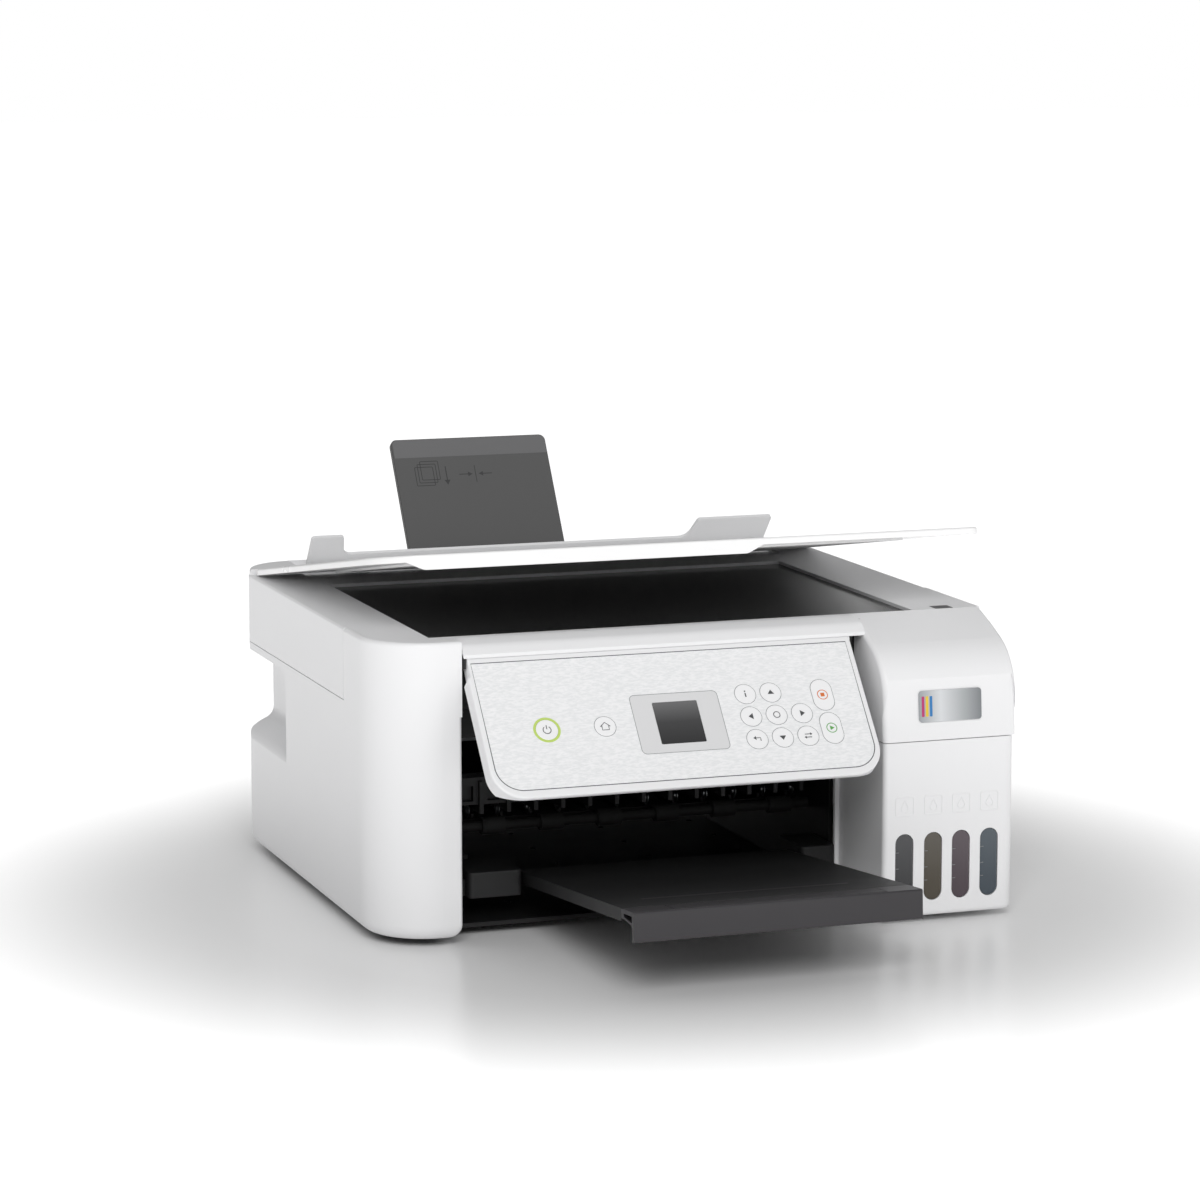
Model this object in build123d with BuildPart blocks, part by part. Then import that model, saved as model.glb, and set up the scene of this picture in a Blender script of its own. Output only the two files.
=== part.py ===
from build123d import *
import os
from math import cos, radians, sin, tan

# Ink-tank inkjet printer with a flatbed scanner on top, in millimetres.
# +X is to the right of a person who faces the printer, -Y is its front, +Z is up.
# The origin is on the table, under the centre of the printer with its tray and support out.

os.makedirs("parts", exist_ok=True)

# ---- driving dimensions -------------------------------------------------------------------
half_width = 187.5          # half of the 375 mm wide body
front = -95.0               # front of the left column
tank_front = -130.0         # front of the ink tank unit
rear = 217.0                # back wall
body_bottom = 4.3           # lower edge of the housing, above the table
seam = 133.1                # the scanner unit lifts off the base here
tank_seam = 107.5           # the same seam at the ink tank unit
top = 175.0                 # top of the scanner frame
rim_top = 178.3             # raised corners beside the paper feeder
wall = 2.5                  # moulded wall
gap = 0.25                  # half of a visible seam
corner_front = 38.0         # plan radius of the left column
corner_rear = 33.0          # plan radius of the two rear corners
column_right = -138.0       # left side of the front opening
tank_left = 104.5           # right side of the front opening
seam_front = -26.3          # front end of the side seam
tank_back = -63.7           # back of the ink tank unit

glass_left, glass_right = -151.7, 144.5
glass_front, glass_rear = -76.3, 131.7

panel_tilt = 40.0                     # the control panel's angle from vertical
panel_y, panel_z = -97.5, 164.3       # top of its front face
panel_left, panel_right = -135.5, 96.0
panel_height = 89.0
panel_thick = 10.0
panel_pivot = (-93.0, 163.0)          # its hinge line, y and z
knuckle = 4.28                        # radius of the rounded top edge about that line

lid_open = 9.5                        # the document cover stands this far open
lid_pivot = (181.0, 176.2)
lid_length = 268.0
lid_half = 184.5
lid_thick = 4.0

tray_slope = 5.6
tray_y, tray_z = -246.0, 50.0         # top front edge of the pulled-out tray
tray_left, tray_right = -90.5, 77.5
tray_length = 200.0
lip_depth = 20.0

support_lean = 32.3
support_y, support_z = 244.0, 248.3   # top edge of the raised paper support
support_left, support_right = -79.0, 25.0
support_thick = 3.5

guard_lean = 34.0
guard_pivot = (188.5, 176.6)
paper_centre = -6.5

tank_centres = (117.7, 135.8, 153.4, 171.2)
tank_names = ("black", "yellow", "magenta", "cyan")
window_low, window_high = 13.5, 53.7
window_width = 11.4

feed_axis = (58.0, 52.0)
idler_axis = (16.0, 52.0)
eject_axis = (-20.0, 52.0)
pickup_axis = (129.6, 92.2)
belt_z = 100.0
pulley_x = (-122.0, 84.0)


# ---- small helpers ------------------------------------------------------------------------
def block(low, high, mode=Mode.ADD):
    """An upright box between two corners."""
    with Locations(tuple((a + b) / 2 for a, b in zip(low, high))):
        Box(*[b - a for a, b in zip(low, high)], mode=mode)


def rod(x_low, x_high, axis, radius, mode=Mode.ADD):
    """A round bar along X about the line (y, z)."""
    with Locations(Location(((x_low + x_high) / 2, *axis), (0, 90, 0))):
        Cylinder(radius, x_high - x_low, mode=mode)


def rod_y(y_low, y_high, centre, radius, mode=Mode.ADD):
    """A round bar along Y about the line (x, z)."""
    with Locations(Location((centre[0], (y_low + y_high) / 2, centre[1]), (90, 0, 0))):
        Cylinder(radius, y_high - y_low, mode=mode)


def profile(x_low, x_high, points, radii=0, mode=Mode.ADD):
    """A closed outline of (y, z) points with rounded corners, drawn out along X."""
    rounding = radii if isinstance(radii, (list, tuple)) else [radii] * len(points)
    with BuildSketch(Plane.YZ.offset(x_low)) as face:
        with BuildLine():
            FilletPolyline(*points, radius=rounding, close=True)
        make_face()
    extrude(face.sketch, amount=x_high - x_low, mode=mode)


def outline(points, radii, z_low, z_high, inset=0.0, mode=Mode.ADD):
    """A closed outline of (x, y) points with rounded corners, drawn up from z_low to z_high."""
    with BuildSketch(Plane.XY.offset(z_low)) as face:
        with BuildLine():
            FilletPolyline(*points, radius=radii, close=True)
        make_face()
        if inset:
            offset(amount=-inset, kind=Kind.INTERSECTION)
    extrude(face.sketch, amount=z_high - z_low, mode=mode)


def finish(builder, label):
    """Label a finished piece and write it."""
    builder.part.label = label
    export_step(builder.part, f"parts/{label}.step")


def leaning(y, z, angle):
    """A plane whose face looks to the front and up, leaning back by angle from vertical."""
    return Plane(origin=(0, y, z), x_dir=(1, 0, 0), z_dir=(0, -cos(radians(angle)), sin(radians(angle))))


def sloping(y, z, angle):
    """A plane that looks up, with its front raised by angle."""
    return Plane(origin=(0, y, z), x_dir=(1, 0, 0), z_dir=(0, sin(radians(angle)), cos(radians(angle))))


base_plan = [
    (-half_width, front),
    (column_right, front),
    (column_right, tank_back),
    (half_width, tank_back),
    (half_width, rear),
    (-half_width, rear),
]
base_radii = [corner_front, 2, 0, 0, corner_rear, corner_rear]


# ---- base: outer housing ------------------------------------------------------------------
rear_round = 30.0           # the back of the housing curves in under the body
foot_inset = 7.5            # the wall leans in this far at its lower edge
grip = (102.5, 74.3, 128.3)  # hand-hold at the rear left: front end, lower and upper edge
grip_depth = 22.0


def grip_profile(grow, mode):
    """The hand-hold's hollow, or that hollow grown by a wall thickness."""
    y_front, z_low, z_high = grip
    inner = -half_width + grip_depth + grow
    with BuildSketch(Plane.XZ.offset(-y_front + grow)) as face:
        with BuildLine():
            FilletPolyline(
                (-half_width - 20, z_low - 12),
                (-half_width - 0.1, z_low - 12),
                (-half_width - 0.1, z_low + 1 - grow),
                (inner, z_low + 7 - grow),
                (inner, z_high - 10 + grow),
                (-half_width, z_high + grow),
                (-half_width - 20, z_high + grow + 4),
                radius=[0, 0, 6, 7, 7, 2, 0],
                close=True,
            )
        make_face()
    extrude(face.sketch, amount=-(rear - y_front + 10), mode=mode)


with BuildPart() as base_housing:
    outline(base_plan, base_radii, body_bottom, seam - gap)
    side = [(front - 60, body_bottom), (rear, body_bottom), (rear, seam + 50), (front - 60, seam + 50)]
    profile(-half_width - 1, half_width + 1, side, [0, rear_round, 0, 0], mode=Mode.INTERSECT)
    low_edges = base_housing.edges().group_by(Axis.Z)[0]
    fillet([e for e in low_edges if e.center().X < -120], radius=8)
    grip_profile(0.0, Mode.SUBTRACT)
with BuildPart() as base_hollow:
    outline(base_plan, base_radii, 12.0, seam + 1, inset=wall)
    outline(base_plan, base_radii, body_bottom - 1, 12.5, inset=foot_inset)
    side = [(front - 60, 0), (rear - wall, 0), (rear - wall, seam + 50), (front - 60, seam + 50)]
    profile(-half_width - 1, half_width + 1, side, [0, rear_round + 3, 0, 0], mode=Mode.INTERSECT)
    grip_profile(wall, Mode.SUBTRACT)
with BuildPart() as column_wall:
    column_plan = [(-half_width, front), (column_right, front), (column_right, seam_front - gap),
                   (-half_width, seam_front - gap)]
    outline(column_plan, [corner_front, 0, 0, 0], seam - 1, top)
    top_edges = column_wall.edges().group_by(Axis.Z)[-1].sort_by(Axis.Y)[:-1]
    fillet([e for e in top_edges if e.center().X < column_right - 1], radius=2.4)
    outline([(-half_width + 3, front + 3), (column_right + 9, front + 3), (column_right + 9, 0),
             (-half_width + 3, 0)], [corner_front - 3, 0, 0, 0], seam - 2, top + 1, mode=Mode.SUBTRACT)
with BuildPart() as housing_whole:
    add(base_housing.part)
    add(base_hollow.part, mode=Mode.SUBTRACT)
    add(column_wall.part)
    # the paper comes out through the front opening
    block((column_right + wall, tank_back - 5, 0), (102.0, tank_back + foot_inset + 1, seam + 1),
          Mode.SUBTRACT)
    # lowered back edge, so that the scanner unit's wall can turn past it
    block((-half_width - 1, rear - 5.5, seam - 4.0), (half_width + 1, rear + 1, seam + 1), Mode.SUBTRACT)
    # mains inlet in the back wall
    block((-142, rear - 5, 37), (-118, rear + 1, 53), Mode.SUBTRACT)
finish(housing_whole, "base_housing")

with BuildPart() as bottom_plate:
    plate_plan = [(-half_width, front), (column_right, front), (column_right, tank_back),
                  (half_width, tank_back), (half_width, rear - 24), (-half_width, rear - 24)]
    plate_radii = [corner_front, 0, 0, 0, corner_rear - 6, corner_rear - 6]
    outline(plate_plan, plate_radii, body_bottom + 0.5, body_bottom + 3.0, inset=foot_inset + 0.6)
    # tongue under the paper exit, between the column and the ink tank unit
    block((column_right + wall + 0.5, tank_back - 7.0, body_bottom + 0.5),
          (101.5, tank_back + foot_inset + 2, body_bottom + 3.0))
    with Locations((0, 60, body_bottom + 3.0)):
        with GridLocations(60, 44, 6, 5):
            Hole(radius=2.0, depth=4)
finish(bottom_plate, "bottom_plate")

with BuildPart() as rubber_feet:
    for x, y in ((-154, -44), (146, -104), (-150, 165), (150, 165)):
        with BuildSketch(Plane.XY):
            with Locations((x, y)):
                Circle(9)
        extrude(amount=body_bottom + 0.5 if y > tank_back else body_bottom)
    chamfer(rubber_feet.edges().group_by(Axis.Z)[0], length=0.6)
finish(rubber_feet, "rubber_feet")

# ---- base: ink tank unit ------------------------------------------------------------------
with BuildPart() as tank_housing:
    tank_plan = [(tank_left, tank_front), (half_width, tank_front), (half_width, tank_back - gap),
                 (tank_left, tank_back - gap)]
    outline(tank_plan, [3, 7, 0, 0], body_bottom, tank_seam - gap)
    fillet(tank_housing.edges().group_by(Axis.Z)[0].sort_by(Axis.Y)[:-1], radius=2.9)
    outline(tank_plan, [1, 5, 0, 0], body_bottom + wall, tank_seam + 1, inset=wall, mode=Mode.SUBTRACT)
    with BuildSketch(Plane.XZ.offset(-tank_front + 1)):
        for centre in tank_centres:
            with Locations((centre, (window_low + window_high) / 2)):
                SlotOverall(window_high - window_low, window_width, rotation=90)
    extrude(amount=-8, mode=Mode.SUBTRACT)
finish(tank_housing, "tank_housing")

tank_width = 15.6
cap_pivot = (-72.0, 106.0)
for centre, name in zip(tank_centres, tank_names):
    with BuildPart() as ink_tank:
        block((centre - tank_width / 2, tank_front + wall + 0.4, 8.5),
              (centre + tank_width / 2, tank_back - 3.5, 98.0))
        fillet(ink_tank.edges().filter_by(Axis.Y), radius=2)
        with BuildSketch(Plane.XZ.offset(-tank_front - wall - 1)):
            with Locations((centre, (window_low + window_high) / 2)):
                SlotOverall(window_high - window_low - 0.8, window_width - 0.8, rotation=90)
        extrude(amount=wall + 0.6)
        with BuildSketch(Plane.XY.offset(98.0)):
            with Locations((centre, -88)):
                Circle(5.5)
        extrude(amount=5.5)
        block((centre - 4, -75.5, 98.0), (centre + 4, -68.5, 102.0))
    finish(ink_tank, f"ink_tank_{name}")

    with BuildPart() as tank_cap:
        with BuildSketch(Plane.XY.offset(103.8)):
            with Locations((centre, -88)):
                Circle(7.4)
            with Locations((centre, -79)):
                Rectangle(6, 10)
        extrude(amount=3.6)
        fillet(tank_cap.faces().sort_by(Axis.Z)[-1].edges(), radius=0.6)
        rod(centre - 3.5, centre + 3.5, cap_pivot, 2.2)
    finish(tank_cap, f"tank_cap_{name}")

# ---- base: print mechanism ----------------------------------------------------------------
frame_left, frame_right = -137.5, 101.8
frame_front = -55.0
plate = 2.4
with BuildPart() as inner_frame:
    for x in (frame_left, frame_right):
        block((x, frame_front, 8.5), (x + plate, 148, 130.0))
    block((frame_left, frame_front, 112), (frame_right + plate, frame_front + 5, 130))
    block((frame_left, 96, 118), (frame_right + plate, 100, 130))
    block((frame_left, 22, 8.5), (tray_left - 8, 25, 26))
    for axis, radius in ((feed_axis, 4.06), (eject_axis, 3.06), (pickup_axis, 4.06)):
        rod(frame_left - 1, frame_right + plate + 1, axis, radius, Mode.SUBTRACT)
    rod(frame_left, frame_left + 9.5, idler_axis, 3.0)
    for axis in (feed_axis, eject_axis, pickup_axis):
        rod(frame_right + plate, frame_right + plate + 0.1, axis, 1.0, Mode.SUBTRACT)
finish(inner_frame, "inner_frame")

with BuildPart() as tray_side_blocks:
    for x_low, x_high in ((-125.5, -93.2), (79.8, 101.4)):
        block((x_low, -66.5, 20.5), (x_high, -30, 35.5))
    fillet(tray_side_blocks.edges().filter_by(Axis.Z).group_by(Axis.Y)[0], radius=3)
    fillet(tray_side_blocks.faces().sort_by(Axis.Z)[-2:].edges().filter_by(Axis.X), radius=1)
    block((-134.9, -58, 20.5), (-124, -54, 30))
finish(tray_side_blocks, "tray_side_blocks")

rib_count = 14
with BuildPart() as exit_bar:
    bar_left, bar_right = frame_left + plate + 0.2, frame_right - 0.2
    bar = [(-34, 68), (-12, 68), (-12, 80), (-20, 84), (-34, 84)]
    profile(bar_left, bar_right, bar)
    for n in range(rib_count):
        x = bar_left + 10 + n * (bar_right - bar_left - 20) / (rib_count - 1)
        block((x - 1.2, -37, 63), (x + 1.2, -12, 82))
    for n in range(rib_count - 1):
        x = bar_left + 18.5 + n * (bar_right - bar_left - 20) / (rib_count - 1)
        block((x - 4, -35, 70), (x + 4, -30, 79), Mode.SUBTRACT)
finish(exit_bar, "exit_bar")

platen_low, platen_high = -126.0, 98.0
with BuildPart() as platen:
    profile(platen_low, platen_high, [(-12, 50), (48, 50), (48, 55), (-12, 55)], 0.5)
    for n in range(12):
        x = paper_centre - 99 + n * 18
        block((x - 0.8, -10, 54), (x + 0.8, 46, 57.5))
    block((platen_low, 46, 44), (platen_high, 48, 52))
finish(platen, "platen")

rail_y = (64.0, 72.0)
with BuildPart() as guide_rail:
    section = [(rail_y[0], 86), (rail_y[0] + 1.2, 86), (rail_y[0] + 1.2, 116.8), (rail_y[1] - 1.2, 116.8),
               (rail_y[1] - 1.2, 110), (rail_y[1], 110), (rail_y[1], 118), (rail_y[0], 118)]
    profile(frame_left + plate + 0.1, frame_right - 0.1, section)
finish(guide_rail, "guide_rail")

pulley_radius = 6.0
belt_y = (74.0, 79.0)
with BuildPart() as timing_belt:
    with BuildSketch(Plane.XZ.offset(-belt_y[0])):
        with Locations(((pulley_x[0] + pulley_x[1]) / 2, belt_z)):
            length = pulley_x[1] - pulley_x[0] + 2 * pulley_radius
            SlotOverall(length + 3.0, 2 * pulley_radius + 3.0)
            SlotOverall(length + 0.8, 2 * pulley_radius + 0.8, mode=Mode.SUBTRACT)
    extrude(amount=-(belt_y[1] - belt_y[0]))
finish(timing_belt, "timing_belt")

with BuildPart() as carriage_motor:
    rod_y(84.5, 112, (pulley_x[1], belt_z), 13.5)
    fillet(carriage_motor.edges().filter_by(GeomType.CIRCLE), radius=1.5)
    rod_y(81.0, 85.0, (pulley_x[1], belt_z), 4.0)
    block((pulley_x[1] - 16, 84.0, belt_z - 16), (pulley_x[1] + 8.5, 85.4, belt_z + 16))
finish(carriage_motor, "carriage_motor")

for name, x in zip(("idler_pulley", "drive_pulley"), pulley_x):
    with BuildPart() as pulley:
        rod_y(belt_y[0] - 1.2, belt_y[1] + 1.2, (x, belt_z), pulley_radius)
        rod_y(belt_y[0] + 0.2, belt_y[1] - 0.2, (x, belt_z), pulley_radius + 0.2)
        rod_y(belt_y[0] - 1.2, belt_y[0] - 0.4, (x, belt_z), pulley_radius + 1.5)
        with Locations(Location((x, (belt_y[0] + belt_y[1]) / 2, belt_z), (90, 0, 0))):
            with PolarLocations(pulley_radius - 2.4, 3):
                Hole(radius=1.0)
    finish(pulley, name)

with BuildPart() as print_carriage:
    carriage_left, carriage_right = 40.0, 98.0
    block((carriage_left, -4, 66), (carriage_right, 54, 104))
    fillet(print_carriage.edges().filter_by(Axis.Z), radius=3)
    chamfer(print_carriage.faces().sort_by(Axis.Z)[-1].edges(), length=2)
    # nozzle head under the carriage
    block((carriage_left + 14, 8, 60), (carriage_right - 14, 42, 67))
    # arm over the rail and clamp beside the belt
    block((carriage_left + 10, 50, 96), (carriage_right - 10, 62.8, 103))
    block((carriage_left + 10, 56, 96), (carriage_right - 10, 62.8, 124))
    block((carriage_left + 10, 56, 119.2), (carriage_right - 10, 80, 124))
    block((carriage_left + 20, 74, 108.2), (carriage_right - 20, 80, 124))
finish(print_carriage, "print_carriage")


def gear(x_low, width, axis, teeth, phase, bore):
    """A spur gear of module 1 about a line along X, with its first tooth turned by phase."""
    pitch_radius = teeth / 2
    root, tip = pitch_radius - 1.25, pitch_radius + 0.9
    with BuildSketch(Plane(origin=(x_low, *axis), x_dir=(0, 1, 0), z_dir=(1, 0, 0))) as face:
        Circle(root)
        with PolarLocations(root, teeth, start_angle=phase):
            Polygon((-0.4, -1.05), (1.25, -0.66), (tip - root, -0.32), (tip - root, 0.32),
                    (1.25, 0.66), (-0.4, 1.05), align=None)
        if bore:
            Circle(bore, mode=Mode.SUBTRACT)
    extrude(face.sketch, amount=width)


gear_left, gear_width = -134.2, 4.0
feed_teeth, idler_teeth, eject_teeth = 40, 44, 28
with BuildPart() as feed_roller:
    rod(-137.3, 103.9, feed_axis, 4.0)
    rod(-124, 96, feed_axis, 7.0)
    gear(gear_left, gear_width, feed_axis, feed_teeth, 0, 0)
finish(feed_roller, "feed_roller")

with BuildPart() as idler_gear:
    gear(gear_left, gear_width, idler_axis, idler_teeth, 180 / idler_teeth, 3.06)
finish(idler_gear, "idler_gear")

with BuildPart() as eject_roller:
    rod(-137.3, 103.9, eject_axis, 3.0)
    gear(gear_left, gear_width, eject_axis, eject_teeth, 0, 0)
    for n in range(6):
        x = paper_centre - 90 + n * 36
        rod(x - 7, x + 7, eject_axis, 5.0)
finish(eject_roller, "eject_roller")

with BuildPart() as pickup_roller:
    rod(-137.3, 103.9, pickup_axis, 4.0)
    for x in (-50, 8):
        rod(x - 12, x + 12, pickup_axis, 12.0)
finish(pickup_roller, "pickup_roller")

with BuildPart() as paper_chute:
    # the sheet slides down the slope, turns on the curve and runs forward to the feed roller
    lean = radians(support_lean)
    back = (cos(lean), -sin(lean))
    upper = (169.9 + 4.3 * back[0], 131.0 + 4.3 * back[1])
    lower = (141.0 + 4.3 * back[0], 85.3 + 4.3 * back[1])
    path = [(upper[0], upper[1]), lower, (112, 47), (72, 46), (72, 43.8), (113, 44.6),
            (lower[0] + 2.4, lower[1] - 1.6), (upper[0] + 2.2, upper[1] - 1.3)]
    profile(-128, 100, path, [0, 12, 14, 0, 0, 16, 14, 0])
    for x in (-128, 97.8):
        block((x, 150, 94), (x + 2.2, 168, 124))
finish(paper_chute, "paper_chute")

with BuildPart() as main_board:
    block((112, -48, 14), (178, 120, 15.6))
    for x, y, w, d, h in ((130, -20, 24, 24, 4), (158, 10, 18, 12, 3), (135, 45, 12, 30, 9),
                          (160, 70, 16, 16, 12), (128, 95, 20, 10, 8)):
        block((x - w / 2, y - d / 2, 15), (x + w / 2, y + d / 2, 15 + h))
    for x, y in ((116, -44), (174, -44), (116, 116), (174, 116)):
        with Locations((x, y, 11)):
            Cylinder(3, 7.4)
finish(main_board, "main_board")

with BuildPart() as power_supply:
    block((-178, 40, 9.5), (-140, 180, 40))
    fillet(power_supply.edges().filter_by(Axis.Z), radius=2)
    for n in range(8):
        y = 56 + n * 14
        block((-168, y, 37), (-150, y + 4, 41), Mode.SUBTRACT)
finish(power_supply, "power_supply")

with BuildPart() as ac_inlet:
    with BuildSketch(Plane.XZ.offset(-rear)):
        with Locations((-130, 45)):
            RectangleRounded(23.6, 15.6, 2)
    extrude(amount=24)
    with BuildSketch(Plane.XZ.offset(-rear)):
        with Locations((-130, 45)):
            SlotOverall(15.5, 8.6)
    extrude(amount=12, mode=Mode.SUBTRACT)
    for x in (-134.3, -125.7):
        rod_y(rear - 14, rear - 2, (x, 45), 1.2)
finish(ac_inlet, "ac_inlet")

# ---- scanner unit -------------------------------------------------------------------------
feeder_left, feeder_right = -154.7, 156.7
feeder_front = 160.0
case_front = -83.5
plate_thick = 2.0
glass_lap = 3.4                    # how far the glass runs under its frame

with BuildPart() as frame_shell:
    rear_plan = [(-half_width, seam_front + gap), (half_width, seam_front + gap), (half_width, rear),
                 (-half_width, rear)]
    outline(rear_plan, [0, 0, corner_rear, corner_rear], seam + gap, top)
    fillet(frame_shell.faces().sort_by(Axis.Z)[-1].edges().sort_by(Axis.Y)[1:], radius=1.6)
    hollow_plan = [(-half_width + wall, seam_front - 5), (half_width - wall, seam_front - 5),
                   (half_width - wall, rear - wall), (-half_width + wall, rear - wall)]
    outline(hollow_plan, [0, 0, corner_rear - wall, corner_rear - wall], seam - 1, top - plate_thick,
            mode=Mode.SUBTRACT)
with BuildPart() as rear_rims:
    rim_plan = [(-half_width, 150), (half_width, 150), (half_width, rear), (-half_width, rear)]
    outline(rim_plan, [0, 0, corner_rear, corner_rear], top - plate_thick + 0.3, rim_top, inset=0.6)
    fillet(rear_rims.faces().sort_by(Axis.Z)[-1].edges().sort_by(Axis.Y)[1:], radius=1.6)
    block((-half_width - 1, 140, top - 5), (half_width + 1, 186.5, rim_top + 5), Mode.SUBTRACT)
with BuildPart() as tank_cover:
    with BuildSketch(Plane.YZ.offset(tank_left)) as cover_face:
        with BuildLine():
            over = Line((tank_back + 3, top), (-77.5, top))
            slope = ThreePointArc(over @ 1, (-94.0, 168.9), (-109.6, 162.0))
            brow = TangentArc(slope @ 1, (-127.2, 143.5), tangent=slope % 1)
            nose = Line(brow @ 1, (tank_front, tank_seam + gap))
            floor = Line(nose @ 1, (tank_back + 3, tank_seam + gap))
            Line(floor @ 1, over @ 0)
        make_face()
    extrude(amount=half_width - tank_left)
    cover_edges = [e for e in tank_cover.edges() if e.center().Y < -90 and e.center().Z > tank_seam + 1]
    fillet([e for e in cover_edges if e.center().X > half_width - 1], radius=2.5)
    fillet([e for e in cover_edges if e.center().X < tank_left + 1], radius=3.2)
    with BuildSketch(Plane.YZ.offset(tank_left + wall)):
        add(cover_face.sketch_local)
        offset(amount=-wall, kind=Kind.INTERSECTION)
    extrude(amount=half_width - tank_left - 2 * wall, mode=Mode.SUBTRACT)
    # open below, open towards the scanner
    block((tank_left + wall, tank_front + wall + 0.4, tank_seam - 2), (half_width - wall, tank_back + 5, seam),
          Mode.SUBTRACT)
    block((tank_left - 1, tank_back - gap, tank_seam - 2), (half_width - wall, tank_back + 6,
          top - plate_thick), Mode.SUBTRACT)
    block((half_width - wall - 1, tank_back - gap, tank_seam - 2), (half_width + 1, tank_back + 6,
          seam + gap), Mode.SUBTRACT)
    block((tank_left - 1, case_front - 0.6, seam + gap), (tank_left + wall + 1, tank_back, top - plate_thick),
          Mode.SUBTRACT)
with BuildPart() as scanner_top_frame:
    add(frame_shell.part)
    add(rear_rims.part)
    add(tank_cover.part)
    # flat front part, inside the column's shoulder
    front_plan = [(-half_width + 3.3, front + 3.3), (column_right, front + 3.3), (column_right, -83.0),
                  (tank_left + 1, -83.0), (tank_left + 1, -77.4), (half_width, -77.4), (half_width, 0),
                  (-half_width + 3.3, 0)]
    outline(front_plan, [corner_front - 3.3, 0, 0, 0, 0, 0, 0, 0], top - plate_thick, top)
    # right wall between the ink tank unit and the seam's step
    block((half_width - wall, tank_back + gap, seam + gap), (half_width, seam_front + 2, top))
    # sloping strip above the control panel
    strip = [(-60, top), (-83.5, top), (-92.5, 172.4), (-97.6, 167.6), (-97.6, 165.6), (-96.4, 166.2),
             (-91.5, 170.2), (-84, top - plate_thick), (-60, top - plate_thick)]
    profile(column_right + 0.4, tank_left + 1, strip, [0, 12, 9, 0.4, 0, 7, 9, 0, 0])
    # window for the glass
    block((glass_left, glass_front, top - 5), (glass_right, glass_rear, top + 5), Mode.SUBTRACT)
    block((glass_left - glass_lap - 0.2, glass_front - glass_lap - 0.2, top - plate_thick - 3),
          (glass_right + glass_lap + 0.2, glass_rear + glass_lap + 0.2, top - plate_thick), Mode.SUBTRACT)
    # the paper feeder's housing stands in this gap
    block((feeder_left - 0.3, feeder_front - 0.3, seam - 1), (feeder_right + 0.3, rear + 1, rim_top + 1),
          Mode.SUBTRACT)
finish(scanner_top_frame, "scanner_top_frame")

with BuildPart() as scanner_glass:
    block((glass_left - glass_lap, glass_front - glass_lap, top - plate_thick - 2.7),
          (glass_right + glass_lap, glass_rear + glass_lap, top - plate_thick - 0.1))
finish(scanner_glass, "scanner_glass")

case_plan = [(-183.6, case_front), (183.6, case_front), (183.6, 150.0), (-183.6, 150.0)]
bar_axis = (26.0, 143.5)            # the rail that the sensor bar runs on
with BuildPart() as scanner_case:
    outline(case_plan, [30, 0, 4, 4], seam + 0.6, top - plate_thick - 2.9)
    fillet(scanner_case.edges().group_by(Axis.Z)[0], radius=1.5)
    outline(case_plan, [28, 0, 2, 2], seam + 3.0, top + 1, inset=2.4, mode=Mode.SUBTRACT)
    # rail for the sensor bar and ribs across the floor
    rod(-183, 183, bar_axis, 2.5)
    for x in (-120, -60, 0, 60, 120):
        block((x - 1, -82, seam + 2), (x + 1, 149, seam + 5))
    # ears and pins that carry the control panel
    for x, pin in ((-137.4, 1), (panel_right + 0.4, -1)):
        block((x, panel_pivot[0] - 2.6, panel_pivot[1] - 3.5), (x + 1.5, -83.4, panel_pivot[1] + 2.8))
        end = x + 0.7 + pin * 7.5
        rod(min(x + 0.7, end), max(x + 0.7, end), panel_pivot, 1.5)
finish(scanner_case, "scanner_case")

with BuildPart() as sensor_bar:
    block((-148.5, -74, 147.0), (-131, 129, 168.6))
    fillet(sensor_bar.edges().filter_by(Axis.Z), radius=2)
    rod(-150, -130, bar_axis, 4.6)
    block((-146, 21.5, bar_axis[1]), (-134, 30.5, 150))
    rod(-151, -129, bar_axis, 2.56, Mode.SUBTRACT)
finish(sensor_bar, "sensor_bar")

throat = 9.5                # clear height of the paper slot, square to the sheet
slot_half = 121.5
lean_y = tan(radians(support_lean))
slot_top_front = support_y - (support_z - rim_top) * lean_y - throat / cos(radians(support_lean))
slot_top_back = support_y - (support_z - rim_top) * lean_y + (support_thick + 0.5) / cos(radians(support_lean))
slot_drop = (rim_top + 10 - seam + 10) * lean_y
with BuildPart() as feeder_housing:
    housing_yz = [(feeder_front, seam + gap), (rear, seam + gap), (rear, rim_top), (214.8, rim_top),
                  (214.8, rim_top - 3.0), (191.5, rim_top - 3.0), (191.5, 173.8), (feeder_front, 173.8)]
    profile(feeder_left, feeder_right, housing_yz, [0, 0, 1.2, 0.5, 0, 0, 0, 0.6])
    # inclined slot for the paper and its support
    grow_y = 10 * lean_y
    slot_yz = [(slot_top_front + grow_y, rim_top + 10), (slot_top_back + grow_y, rim_top + 10),
               (slot_top_back + grow_y - slot_drop, seam - 10),
               (slot_top_front + grow_y - slot_drop, seam - 10)]
    profile(paper_centre - slot_half, paper_centre + slot_half, slot_yz, 0, Mode.SUBTRACT)
    # hollow behind the slot
    profile(feeder_left + wall, feeder_right - wall,
            [(186, seam - 1), (rear - wall, seam - 1), (rear - wall, 170), (209, 170)], 0, Mode.SUBTRACT)
    for x_low, x_high in ((feeder_left + wall, paper_centre - slot_half - wall),
                          (paper_centre + slot_half + wall, feeder_right - wall)):
        block((x_low, feeder_front + wall, seam - 1), (x_high, 205, 170), Mode.SUBTRACT)
    # hinge eyes of the guard flap
    for x in (-152.0, 150.4):
        rod(x, x + 4, guard_pivot, 1.9)
        block((x, 186.6, 172), (x + 4, 190.4, guard_pivot[1]))
        rod(x - 0.1, x + 4.1, guard_pivot, 1.06, Mode.SUBTRACT)
finish(feeder_housing, "feeder_housing")

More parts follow.
